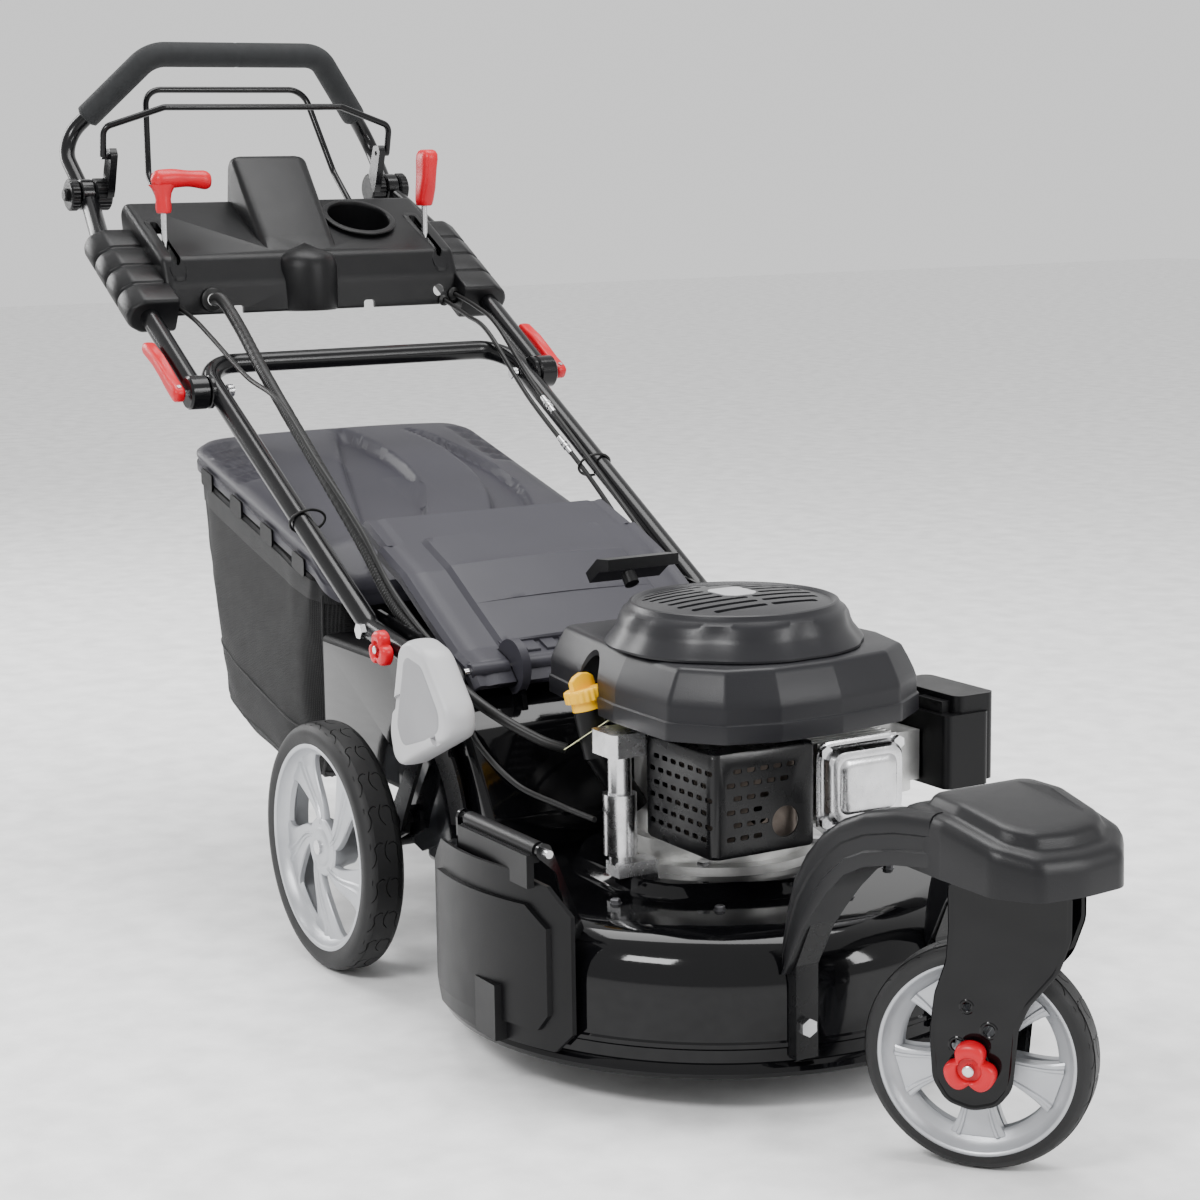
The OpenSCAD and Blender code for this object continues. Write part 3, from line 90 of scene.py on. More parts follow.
def area_light(name, place, target, size, power, colour=(1, 1, 1)):
    """A soft rectangular light at place, turned towards target."""
    data = bpy.data.lights.new(name, "AREA")
    data.shape = "RECTANGLE"
    data.size, data.size_y = size
    data.energy = power
    data.color = colour
    light = bpy.data.objects.new(name, data)
    light.location = place
    light.rotation_euler = (Vector(target) - Vector(place)).to_track_quat("-Z", "Y").to_euler()
    bpy.context.scene.collection.objects.link(light)


def make_stage():
    """White surroundings, a pale floor and four soft lights."""
    world = bpy.data.worlds.new("studio")
    bpy.context.scene.world = world
    world.use_nodes = True
    world.node_tree.nodes["Background"].inputs[0].default_value = (1, 1, 1, 1)
    world.node_tree.nodes["Background"].inputs[1].default_value = 1.0
    mesh = bpy.data.meshes.new("floor")
    reach = 14
    mesh.from_pydata([(-reach, -reach, 0), (reach, -reach, 0), (reach, reach, 0), (-reach, reach, 0)],
                     [], [(0, 1, 2, 3)])
    floor = bpy.data.objects.new("floor", mesh)
    bpy.context.scene.collection.objects.link(floor)
    floor.data.materials.append(surface("floor_paint", (0.93, 0.93, 0.93), 0.6, grain=(300, 0.02)))
    area_light("key", (1.6, -2.6, 2.6), (0.2, 0, 0.4), (1.2, 0.7), 90)
    area_light("side", (3.4, 1.6, 1.9), (0.3, 0, 0.4), (0.5, 1.8), 60)
    area_light("top", (-0.4, 0.4, 3.4), (0.0, 0, 0.4), (2.6, 1.6), 110)
    area_light("back", (-3.0, -1.2, 1.7), (-0.4, 0, 0.6), (0.8, 1.8), 60)


# ---------------------------------------------------------------- materials
def surface(name, base, rough, metallic=0.0, grain=(900, 0.05), mottle=(18, 0.12), wander=0.08,
            coat=0.0, sheen=0.0, dust=0.0, weave=None, gloss=0.5):
    """A procedural material: mottled colour, wandering roughness and a fine grain in the bump."""
    mat = bpy.data.materials.new(name)
    mat.use_nodes = True
    tree = mat.node_tree
    nodes, link = tree.nodes, tree.links.new
    shader = nodes["Principled BSDF"]
    shader.inputs["Metallic"].default_value = metallic
    shader.inputs["Specular IOR Level"].default_value = gloss
    shader.inputs["Coat Weight"].default_value = coat
    shader.inputs["Coat Roughness"].default_value = 0.06
    shader.inputs["Sheen Weight"].default_value = sheen
    place = nodes.new("ShaderNodeTexCoord").outputs["Object"]

    def noise_at(scale, detail=3.0):
        node = nodes.new("ShaderNodeTexNoise")
        node.inputs["Scale"].default_value = scale
        node.inputs["Detail"].default_value = detail
        link(place, node.inputs["Vector"])
        return node.outputs["Fac"]

    colours = nodes.new("ShaderNodeValToRGB")
    low, high = colours.color_ramp.elements
    low.position, high.position = 0.3, 0.7
    low.color = [c * (1 - mottle[1]) for c in base] + [1]
    high.color = [min(1, c * (1 + mottle[1])) for c in base] + [1]
    link(noise_at(mottle[0]), colours.inputs["Fac"])
    colour = colours.outputs["Color"]
    if dust:
        # pale dust settles on faces that look up
        up = nodes.new("ShaderNodeNewGeometry").outputs["Normal"]
        split = nodes.new("ShaderNodeSeparateXYZ")
        link(up, split.inputs[0])
        power = nodes.new("ShaderNodeMath")
        power.operation = "MULTIPLY"
        power.inputs[1].default_value = dust
        power.use_clamp = True
        link(split.outputs["Z"], power.inputs[0])
        cover = nodes.new("ShaderNodeMath")
        cover.operation = "MULTIPLY"
        link(power.outputs[0], cover.inputs[0])
        link(noise_at(60, 6.0), cover.inputs[1])
        mix = nodes.new("ShaderNodeMix")
        mix.data_type = "RGBA"
        mix.inputs["B"].default_value = (0.35, 0.34, 0.32, 1)
        link(cover.outputs[0], mix.inputs["Factor"])
        link(colour, mix.inputs["A"])
        colour = mix.outputs["Result"]
    link(colour, shader.inputs["Base Color"])
    roughness = nodes.new("ShaderNodeMapRange")
    roughness.inputs["To Min"].default_value = max(0.02, rough - wander)
    roughness.inputs["To Max"].default_value = min(1, rough + wander)
    link(noise_at(mottle[0] * 2.3, 5.0), roughness.inputs["Value"])
    link(roughness.outputs["Result"], shader.inputs["Roughness"])
    bump = nodes.new("ShaderNodeBump")
    bump.inputs["Strength"].default_value = grain[1]
    bump.inputs["Distance"].default_value = 0.0006
    link(noise_at(grain[0], 2.0), bump.inputs["Height"])
    normal = bump.outputs["Normal"]
    if weave:
        normal = weave_bump(nodes, link, place, weave, normal)
    link(normal, shader.inputs["Normal"])
    return mat


def weave_bump(nodes, link, place, scale, under):
    """Two crossed sets of threads, as a second bump over the grain."""
    waves = []
    for axis in ("X", "Z"):
        wave = nodes.new("ShaderNodeTexWave")
        wave.bands_direction = axis
        wave.inputs["Scale"].default_value = scale
        wave.inputs["Distortion"].default_value = 0.6
        link(place, wave.inputs["Vector"])
        waves.append(wave.outputs["Fac"])
    both = nodes.new("ShaderNodeMath")
    both.operation = "MULTIPLY"
    link(waves[0], both.inputs[0])
    link(waves[1], both.inputs[1])
    bump = nodes.new("ShaderNodeBump")
    bump.inputs["Strength"].default_value = 0.9
    bump.inputs["Distance"].default_value = 0.001
    link(both.outputs[0], bump.inputs["Height"])
    link(under, bump.inputs["Normal"])
    return bump.outputs["Normal"]


M = {
    "gloss_black": surface("gloss_black", (0.002, 0.002, 0.0025), 0.08, grain=(260, 0.04), wander=0.03,
                           coat=0.12,
                           dust=0.003, gloss=0.2),
    "chute_black": surface("chute_black", (0.003, 0.003, 0.0035), 0.5, grain=(900, 0.3), wander=0.08,
                           gloss=0.1),
    "tube_black": surface("tube_black", (0.003, 0.003, 0.0035), 0.22, grain=(500, 0.08), wander=0.06,
                          coat=0.1,
                          gloss=0.22),
    "frame_black": surface("frame_black", (0.003, 0.003, 0.0035), 0.28, grain=(700, 0.12), wander=0.08,
                           gloss=0.3),
    "satin_grey": surface("satin_grey", (0.008, 0.008, 0.010), 0.36, grain=(1500, 0.22), wander=0.05,
                          mottle=(7, 0.06),
                          gloss=0.28),
    "flap_grey": surface("flap_grey", (0.030, 0.029, 0.037), 0.44, grain=(1300, 0.25), wander=0.05,
                         mottle=(7, 0.08),
                         gloss=0.28),
    "cowl_grey": surface("cowl_grey", (0.009, 0.009, 0.011), 0.32, grain=(1400, 0.18), wander=0.05,
                         mottle=(6, 0.05),
                         gloss=0.32),
    "console_black": surface("console_black", (0.003, 0.003, 0.0035), 0.36, grain=(1200, 0.35), wander=0.06,
                             gloss=0.22),
    "black_plastic": surface("black_plastic", (0.0025, 0.0025, 0.003), 0.34, grain=(1300, 0.30),
                             wander=0.07, gloss=0.20),
    "cover_plastic": surface("cover_plastic", (0.005, 0.005, 0.006), 0.34, grain=(1400, 0.28), wander=0.05,
                             gloss=0.3),
    "red_plastic": surface("red_plastic", (0.52, 0.0, 0.010), 0.34, grain=(900, 0.12), mottle=(25, 0.06),
                           gloss=0.35),
    "yellow_plastic": surface("yellow_plastic", (0.93, 0.50, 0.002), 0.36, grain=(900, 0.12),
                              mottle=(25, 0.05),
                              gloss=0.35),
    "pale_plastic": surface("pale_plastic", (0.42, 0.42, 0.43), 0.40, grain=(1100, 0.15),
                            mottle=(14, 0.05)),
    "pad_grey": surface("pad_grey", (0.25, 0.25, 0.26), 0.52, grain=(1500, 0.35), mottle=(14, 0.06)),
    "white_label": surface("white_label", (0.80, 0.80, 0.78), 0.45, grain=(500, 0.05), mottle=(30, 0.03)),
    "tag_card": surface("tag_card", (0.82, 0.82, 0.48), 0.7, grain=(1500, 0.2), mottle=(60, 0.06)),
    "silver_paint": surface("silver_paint", (0.44, 0.45, 0.47), 0.34, metallic=0.45, grain=(2200, 0.14),
                            mottle=(30, 0.05)),
    "cast_aluminium": surface("cast_aluminium", (0.58, 0.58, 0.57), 0.40, metallic=0.95, grain=(800, 0.5),
                              mottle=(40, 0.14)),
    "zinc_steel": surface("zinc_steel", (0.62, 0.62, 0.63), 0.26, metallic=1.0, grain=(600, 0.1),
                          mottle=(50, 0.10)),
    "dark_steel": surface("dark_steel", (0.20, 0.20, 0.21), 0.38, metallic=1.0, grain=(500, 0.3),
                          mottle=(50, 0.25)),
    "burnt_steel": surface("burnt_steel", (0.18, 0.15, 0.13), 0.5, metallic=0.9, grain=(400, 0.4),
                           mottle=(30, 0.35)),
    "cast_iron": surface("cast_iron", (0.11, 0.11, 0.11), 0.55, metallic=0.8, grain=(600, 0.6),
                         mottle=(40, 0.2)),
    "tyre_rubber": surface("tyre_rubber", (0.008, 0.008, 0.0085), 0.55, grain=(1000, 0.35),
                           mottle=(20, 0.2), dust=0.012,
                           gloss=0.35),
    "cable_rubber": surface("cable_rubber", (0.006, 0.006, 0.006), 0.42, grain=(1200, 0.2), gloss=0.28),
    "foam": surface("foam", (0.012, 0.013, 0.014), 0.74, grain=(1800, 0.7), mottle=(60, 0.14), wander=0.06,
                    gloss=0.35),
    "bag_binding": surface("bag_binding", (0.007, 0.007, 0.008), 0.6, grain=(1600, 0.35), sheen=0.08,
                           weave=420,
                           gloss=0.3),
    "bag_cloth": surface("bag_cloth", (0.0035, 0.0035, 0.004), 0.74, grain=(1500, 0.4), mottle=(26, 0.25),
                         sheen=0.05,
                         weave=150, gloss=0.3),
}


# ---------------------------------------------------------------- mesh helpers
def add_mesh(name, verts, faces, body, material, slot, sharp=35.0):
    """A smooth-shaded mesh, its vertices in metres, that rides on a body."""
    mesh = bpy.data.meshes.new(name)
    mesh.from_pydata([tuple(v) for v in verts], [], faces)
    mesh.validate()
    return add_piece(name, mesh, body, material, sharp)


def clean(mesh):
    """Joins doubled points, drops the edges that this leaves bare and turns every face outwards."""
    bm = bmesh.new()
    bm.from_mesh(mesh)
    bmesh.ops.remove_doubles(bm, verts=bm.verts, dist=0.00001)
    bmesh.ops.delete(bm, geom=[e for e in bm.edges if not e.link_faces], context="EDGES")
    bmesh.ops.recalc_face_normals(bm, faces=bm.faces)
    bm.to_mesh(mesh)
    bm.free()


def add_piece(name, mesh, body, material, sharp=35.0):
    obj = bpy.data.objects.new(name, mesh)
    bpy.context.scene.collection.objects.link(obj)
    mesh.materials.append(M[material])
    clean(mesh)
    for polygon in mesh.polygons:
        polygon.use_smooth = True
    mesh.set_sharp_from_angle(angle=math.radians(sharp))
    if body:
        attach(obj, body)
    return obj


def apply_modifiers(obj):
    """Bakes the modifiers into the mesh, so that the piece carries its final shape."""
    bpy.context.view_layer.update()
    final = bpy.data.meshes.new_from_object(obj.evaluated_get(bpy.context.evaluated_depsgraph_get()))
    old = obj.data
    obj.modifiers.clear()
    obj.data = final
    bpy.data.meshes.remove(old)
    return obj


def bevelled(obj, width, segments=2, angle=30.0, sharp=35.0):
    mod = obj.modifiers.new("edges", "BEVEL")
    mod.width = width * MM
    mod.segments = segments
    mod.limit_method = "ANGLE"
    mod.angle_limit = math.radians(angle)
    mod.harden_normals = False
    apply_modifiers(obj)
    for polygon in obj.data.polygons:
        polygon.use_smooth = True
    obj.data.set_sharp_from_angle(angle=math.radians(sharp))
    return obj


def carve(obj, cutters):
    """Cuts the cutters' meshes out of obj, one after another, and removes them."""
    for cutter in cutters:
        mod = obj.modifiers.new("cut", "BOOLEAN")
        mod.object = cutter
        mod.operation = "DIFFERENCE"
        mod.solver = "EXACT"
        apply_modifiers(obj)
        bpy.data.objects.remove(cutter)
    return obj


def plain(name, verts, faces):
    """A mesh object in the scene with no body, for cutting with."""
    mesh = bpy.data.meshes.new(name)
    mesh.from_pydata([tuple(v) for v in verts], [], faces)
    clean(mesh)
    obj = bpy.data.objects.new(name, mesh)
    bpy.context.scene.collection.objects.link(obj)
    return obj


def prism(outline, low, high, axis="z"):
    """Vertices and faces of an outline carried along an axis: pairs are (x, y), (x, z) or (y, z)."""
    order = {
        "z": lambda a, b, c: (a, b, c), "y": lambda a, b, c: (a, c, b), "x": lambda a, b, c: (c, a, b)
    }[axis]
    n = len(outline)
    verts = [at(*order(a, b, c)) for c in (low, high) for a, b in outline]
    faces = [tuple(range(n))[::-1], tuple(range(n, 2 * n))]
    faces += [(i, (i + 1) % n, n + (i + 1) % n, n + i) for i in range(n)]
    return verts, faces


def rounded(outline, radius, steps=5):
    """The outline with each corner turned into an arc; radius is one number, or one for each corner."""
    out = []
    n = len(outline)
    for i, point in enumerate(outline):
        r = radius[i] if isinstance(radius, (list, tuple)) else radius
        p, a, b = (Vector(q) for q in (point, outline[i - 1], outline[(i + 1) % n]))
        u, v = (a - p).normalized(), (b - p).normalized()
        angle = u.angle(v)
        if r <= 0:
            out.append(tuple(p))
            continue
        if angle > math.pi - 0.01:
            # all but straight: the same number of points, close together on the line
            out += [tuple(p + (v - u) * (0.02 * (k - steps / 2))) for k in range(steps + 1)]
            continue
        cut = min(r / math.tan(angle / 2), (a - p).length * 0.48, (b - p).length * 0.48)
        r = cut * math.tan(angle / 2)
        centre = p + (u + v).normalized() * (r / math.sin(angle / 2))
        start, end = p + u * cut - centre, p + v * cut - centre
        turn = start.angle_signed(end)
        for k in range(steps + 1):
            c, s = math.cos(-turn * k / steps), math.sin(-turn * k / steps)
            out.append((centre.x + start.x * c - start.y * s, centre.y + start.x * s + start.y * c))
    return out


def box_outline(a0, a1, b0, b1, radius=0, steps=5):
    corners = [(a0, b0), (a1, b0), (a1, b1), (a0, b1)]
    return rounded(corners, radius, steps) if radius else corners


def turned(profile, steps, place, axis=(0, 0, 1), closed=True, wave=None):
    """A profile of (radius, height) pairs turned about an axis; wave(angle, i) moves the radius."""
    axis = Vector(axis).normalized()
    side = axis.orthogonal().normalized() if abs(axis.z) < 0.99 else Vector((1, 0, 0))
    other = axis.cross(side)
    n = len(profile)
    verts, faces = [], []
    for s in range(steps):
        a = math.tau * s / steps
        spoke = side * math.cos(a) + other * math.sin(a)
        for i, (r, h) in enumerate(profile):
            grow = wave(a, i) if wave else 0
            verts.append(Vector(place) + spoke * ((r + grow) * MM) + axis * (h * MM))
    for s in range(steps):
        t = (s + 1) % steps
        for i in range(n if closed else n - 1):
            j = (i + 1) % n
            faces.append((s * n + i, t * n + i, t * n + j, s * n + j))
    return verts, faces


def arc_path(points, bend, steps=8):
    """The points with each inner corner rounded to the radius bend."""
    points = [Vector(p) for p in points]
    out = [points[0]]
    for i in range(1, len(points) - 1):
        p, a, b = points[i], points[i - 1], points[i + 1]
        u, v = (p - a).normalized(), (b - p).normalized()
        turn = u.angle(v)
        cut = bend * math.tan(turn / 2)
        inward = (v - u * v.dot(u)).normalized()
        centre = p - u * cut + inward * bend
        for k in range(steps + 1):
            t = turn * k / steps
            out.append(centre + bend * (math.sin(t) * u - math.cos(t) * inward))
    return out + [points[-1]]


def smooth_path(points, steps):
    """A smooth curve through the points, as a Catmull-Rom line."""
    points = [Vector(p) for p in points]
    out = []
    for i in range(len(points) - 1):
        a, b = points[max(i - 1, 0)], points[i]
        c, d = points[i + 1], points[min(i + 2, len(points) - 1)]
        for s in range(steps):
            t = s / steps
            out.append(0.5 * (2 * b + (c - a) * t + (2 * a - 5 * b + 4 * c - d) * t * t
                              + (3 * b - a - 3 * c + d) * t ** 3))
    return out + [points[-1]]


def swept(path, radius, sides=20, capped=True):
    """A round bar along a path in millimetres. radius is a number, or a function of the share along it."""
    path = [Vector(p) for p in path]
    n = len(path)
    length = [0.0]
    for a, b in zip(path, path[1:]):
        length.append(length[-1] + (b - a).length)
    side = (path[1] - path[0]).orthogonal().normalized()
    verts = []
    for i, p in enumerate(path):
        d = (path[min(i + 1, n - 1)] - path[max(i - 1, 0)]).normalized()
        side = (side - d * side.dot(d)).normalized()
        other = d.cross(side)
        r = radius(length[i] / length[-1]) if callable(radius) else radius
        for k in range(sides):
            a = math.tau * k / sides
            verts.append(at(*(p + (side * math.cos(a) + other * math.sin(a)) * r)))
    faces = [
        (i * sides + k, i * sides + (k + 1) % sides, (i + 1) * sides + (k + 1) % sides, (i + 1) * sides + k)
        for i in range(n - 1) for k in range(sides)
    ]
    if capped:
        faces += [tuple(range(sides))[::-1], tuple(range((n - 1) * sides, n * sides))]
    return verts, faces


def loft(rings, capped=True):
    """Skin over rings with the same number of points, in metres."""
    n = len(rings[0])
    verts = [p for ring in rings for p in ring]
    faces = [
        (i * n + k, i * n + (k + 1) % n, (i + 1) * n + (k + 1) % n, (i + 1) * n + k)
        for i in range(len(rings) - 1) for k in range(n)
    ]
    if capped:
        faces += [tuple(range(n))[::-1], tuple(range((len(rings) - 1) * n, len(rings) * n))]
    return verts, faces


def merge(*meshes):
    """Several (verts, faces) pairs as one."""
    verts, faces = [], []
    for v, f in meshes:
        base = len(verts)
        verts += list(v)
        faces += [tuple(i + base for i in face) for face in f]
    return verts, faces


def hex_head(place, axis, r, h):
    """A hexagon bolt head with a washer face, standing on place along axis."""
    flange = turned([(0, 0), (r * 1.25, 0), (r * 1.25, h * 0.2), (0, h * 0.2)], 20, place, axis)
    head = turned([(0, 0), (r, h * 0.2), (r, h * 0.85), (r * 0.88, h), (0, h)], 6, place, axis)
    return merge(flange, head)


# ---------------------------------------------------------------- wheels
def tyre_mesh(name, d, w, rim, centre, out, body, slot, lugs, spin=0.0):
    """A tyre with rounded shoulders and curved grooves. out is the direction of its outer face."""
    r, h = d / 2, w / 2
    profile = [
        (rim - 1.0, -h + 2.5), (rim + 1.5, -h + 1.2), (r - 14, -h + 0.2), (r - 11, -h - 0.0),
        (r - 8, -h + 1.0),
        (r - 6.5, -h + 2.2), (r - 4.5, -h + 3.6), (r - 2.2, -h + 6.0), (r - 0.8, -h + 9.0), (r, -h + 13),
        (r + 0.3, -h / 2), (r + 0.4, 0), (r + 0.3, h / 2), (r, h - 13), (r - 0.8, h - 9), (r - 2.2, h - 6),
        (r - 4.5, h - 3.6), (r - 6.5, h - 2.2), (r - 8, h - 1), (r - 14, h - 0.2), (rim - 1, h - 2.5)
    ]
    axis = Vector(out).normalized()
    verts, faces = turned(profile, 180, centre, axis)
    obj = add_mesh(name, verts, faces, None, "tyre_rubber", slot, 40)
    # grooves: thin curved blades are cut out of the tread
    side = axis.orthogonal().normalized() if abs(axis.z) < 0.99 else Vector((1, 0, 0))
    other = axis.cross(side)
    cuts = []
    for k in range(lugs):
        for hook in TREAD:
            base = math.tau * (k + spin) / lugs
            line = smooth_path([Vector((a, b, 0)) for a, b in hook], 5)
            ring_set = []
            for i, p in enumerate(line):
                ahead = (line[min(i + 1, len(line) - 1)] - line[max(i - 1, 0)]).normalized()
                nose = 0.35 if i in (0, len(line) - 1) else 1.0
                half = Vector((-ahead.y, ahead.x, 0)) * 1.15 * nose
                ring = []
                for q, reach in ((p - half, r - 2.6), (p + half, r - 2.6), (p + half * 1.3, r + 3),
                                 (p - half * 1.3, r + 3)):
                    angle = base + q.x * (math.tau / lugs) / 100
                    spoke = side * math.cos(angle) + other * math.sin(angle)
                    ring.append(Vector(centre) + spoke * (reach * MM) + axis * (q.y * w / 100 * MM))
                ring_set.append(ring)
            cuts.append(loft(ring_set))
    cutter = plain(name + "_cut", *merge(*cuts))
    carve(obj, [cutter])
    for polygon in obj.data.polygons:
        polygon.use_smooth = True
    obj.data.set_sharp_from_angle(angle=math.radians(32))
    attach(obj, body)
    return obj


# The tread's hooks: (share of one pitch round the wheel, share of the width across it), in hundredths
TREAD = [
    [(4, -48), (16, -34), (40, -26), (64, -28), (78, -18), (74, -6)],
    [(24, -8), (40, 2), (62, 4), (84, -4)],
    [(6, 48), (18, 34), (42, 26), (66, 28), (80, 16), (76, 8)],
    [(54, -46), (62, -38), (78, -36)],
    [(56, 46), (64, 38), (80, 37)],
]


def rear_hub_mesh(name, centre, out, body, hand):
    """Moulded hub with five swirling spokes; out is its outer face's direction, hand the swirl's sense."""
    axis = Vector(out)
    side = Vector((0, 0, 1))
    other = axis.cross(side) * hand
    rim = 117.4

    def spot(a, radius, depth):
        return Vector(centre) + (side * math.cos(a) + other * math.sin(a)) * (radius * MM) + axis * (depth
                                                                                                     * MM)

    parts = []
    # rim: bright lip outside, then a wall that falls back to the dish
    profile = [
        (rim, -20), (rim, 20.5), (rim - 1.2, 21.6), (rim - 4.5, 21.6), (rim - 6, 20.6), (rim - 7, 17),
        (rim - 9.5, 12.5), (rim - 12, 9), (rim - 14, 8), (rim - 16, 3), (rim - 12, 0), (rim - 6, -4),
        (rim - 5, -20)
    ]
    parts.append(turned(profile, 120, centre, axis))
    # centre boss with a flat plain face
    parts.append(turned([(0, -20), (24, -20), (26, -8), (33, 6), (33.5, 13), (31.5, 15), (22, 15.6),
                         (20.5, 16.6),
                         (18, 17.6), (0, 17.8)], 72, centre, axis))
    steps = 16
    for k in range(5):
        base = math.tau * k / 5
        ring_set = []
        for i in range(steps + 1):
            t = i / steps
            radius = 26 + (rim - 10.5 - 26) * t
            lean = base + 0.62 * t ** 1.15 + 0.18 * math.sin(math.pi * t)
            half = (0.58 - 0.30 * t + 0.30 * t * t * t) * (1 if t < 0.9 else 1 + (t - 0.9) * 1.3)
            crown = 13.6 - 5.6 * t
            ring = []
            # across the spoke: a flat, a raised curved ridge, a hollow, a second ridge and a rolled edge
            across = [
                (-1.0, -6.5), (-1.0, -1.2), (-0.94, 0.3), (-0.80, 0.9), (-0.30, 0.9), (-0.22, 2.4),
                (-0.14, 2.4), (-0.06, 0.6),
                (0.06, 0.6), (0.14, 2.4), (0.22, 2.4), (0.30, 0.9), (0.80, 0.9), (0.94, 0.3), (1.0, -1.2),
                (1.0, -6.5)
            ]
            for s, up in across:
                ring.append(spot(lean + s * half * 0.62, radius, crown + up))
            ring_set.append(ring)
        parts.append(loft(ring_set))
    return add_mesh(name, *merge(*parts), body, "silver_paint", "silver_plastic", 30)


def wheel_set():
    for hand, word in ((-1, "right"), (1, "left")):
        low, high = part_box("rear_tyre_" + word)
        centre = (low + high) / 2
        out = (0, hand, 0)
        tyre = tyre_mesh("rear_tyre_shaped_" + word, 279, 47.6, 117.4, centre, out, "rear_wheel_" + word,
                         "tyre", 22, 0.3)
        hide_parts("rear_tyre_" + word)
        hub = rear_hub_mesh("rear_hub_shaped_" + word, centre, out, "rear_wheel_" + word, -hand)
        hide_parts("rear_hub_" + word)


HEADING = math.radians(38.6)
SWIVEL = (862, 0)


def cast(x, y, z):
    """A point of the swivelling group: x along its heading, y across it, from the swivel axis."""
    c, s = math.cos(HEADING), math.sin(HEADING)
    return at(SWIVEL[0] + x * c - y * s, SWIVEL[1] + x * s + y * c, z)


def to_cast(mesh):
    """Turns vertices written as at(x, y, z) in the swivelling group's own frame into the part's frame."""
    verts, faces = mesh
    return [cast((v.x - AXLE_X) / MM, (v.y - AXLE_Y) / MM, v.z / MM) for v in verts], faces


def front_wheel_set():
    centre = cast(-24, 0, 104)
    out = cast(0, -1, 0) - cast(0, 0, 0)
    out.normalize()
    tyre = tyre_mesh("front_tyre_shaped", 207, 45.6, 92.4, centre, out, "front_wheel", "tyre", 18)
    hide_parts("front_tyre")
    rim = 92.4
    parts = []
    for face in (1, -1):
        axis = out * face
        side = Vector((0, 0, 1))
        other = axis.cross(side)
        profile = [
            (rim, 0), (rim, 20.5), (rim - 1, 21.6), (rim - 5, 21.6), (rim - 6.2, 20.8), (rim - 8.5, 16),
            (rim - 13, 11),
            (rim - 19, 8), (rim - 22, 5), (rim - 20, 1), (rim - 12, 0)
        ]
        parts.append(turned(profile, 110, centre, axis))
        parts.append(turned([(8, 0), (24, 0), (23.5, 12), (22, 17), (17, 19), (9, 19)], 48, centre, axis))
        for k in range(5):
            base = math.tau * (k + 0.5) / 5
            ring_set = []
            for i in range(9):
                t = i / 8
                radius = 20 + (rim - 16 - 20) * t
                half = 7.5 + 12.5 * t + 5 * t ** 4
                crown = 15 - 5.0 * t
                ring = []
                for s, up in ((-1, -9), (-1, -0.6), (-0.93, 0.5), (-0.80, 0.6), (-0.76, 2.0), (-0.66, 2.0),
                              (-0.6, 0.2),
                              (0.6, 0.2), (0.66, 2.0), (0.76, 2.0), (0.80, 0.6), (0.93, 0.5), (1, -0.6),
                              (1, -9)):
                    a = base + math.asin(min(0.95, s * half / radius))
                    ring.append(Vector(centre) + (side * math.cos(a) + other * math.sin(a)) * (radius * MM)
                                + axis * ((crown + up) * MM))
                ring_set.append(ring)
            parts.append(loft(ring_set))
    hub = add_mesh("front_hub_shaped", *merge(*parts), "front_wheel", "silver_paint", "silver_plastic", 30)
    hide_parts("front_hub")


# ---------------------------------------------------------------- three-lobed knobs
def lobed_knob(name, place, axis, radius, height, body, slot, bolt=True, stretch=1.0):
    """A red clamp knob with three swirled lobes and a recess that shows the bolt's end."""
    axis = Vector(axis).normalized()
    side = Vector((0, 0, 1)) if abs(axis.z) < 0.9 else Vector((1, 0, 0))
    side = (side - axis * side.dot(axis)).normalized()
    other = axis.cross(side)
    steps = 72
    levels = [
        (0.0, 0.72), (0.12, 0.94), (0.22, 1.0), (0.66, 1.0), (0.80, 0.97), (0.92, 0.90), (0.98, 0.80),
        (1.0, 0.70),
        (0.99, 0.52), (0.93, 0.47), (0.72, 0.44), (0.70, 0.36), (0.70, 0.0)
    ]
    rings = []
    for up, share in levels:
        ring = []
        for s in range(steps):
            a = math.tau * s / steps
            lobe = (0.5 + 0.5 * math.cos(3 * (a - 0.22 * math.sin(3 * a)))) ** 0.75
            edge = 0.60 + 0.40 * lobe
            reach = share * edge if share > 0.6 else share * (0.85 + 0.15 * edge)
            reach = max(reach, 0.001)
            ring.append(Vector(place) + (side * math.cos(a) + other * math.sin(a) * stretch)
                        * (radius * reach * MM)
                        + axis * (up * height * MM))
        rings.append(ring)
    knob = add_mesh(name, *loft(rings), body, "red_plastic", slot, 40)
    if bolt:
        top = Vector(place) + axis * (0.70 * height * MM)
        end = add_mesh(name + "_stud", *turned([(0, 0), (radius * 0.21, 0), (radius * 0.21, height * 0.36),
                                               (radius * 0.17, height * 0.40), (0, height * 0.40)], 24, top,
                                               axis),
                       body, "zinc_steel", "stamped_steel")
        return [knob, end]
    return [knob]


def knobs():
    out = (cast(0, -1, 0) - cast(0, 0, 0)).normalized()
    shaped = lobed_knob("front_knob_shaped", cast(-24, -36, 104), out, 24, 17, "front_knob", "red_plastic")
    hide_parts("front_knob")
    foot = at(96, 0, 376)
    first = None
    for hand in (-1, 1):
        word = "right" if hand < 0 else "left"
        place = Vector((foot.x, AXLE_Y + hand * 229.4 * MM, foot.z))
        pieces = lobed_knob("lower_knob_shaped_" + word, place, (0, hand, 0), 20.4, 15, "deck",
                            "red_plastic")
        first = first or pieces[0]
    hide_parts("lower_knobs")


# ---------------------------------------------------------------- deck, chute and front
DECK = (390, 0)


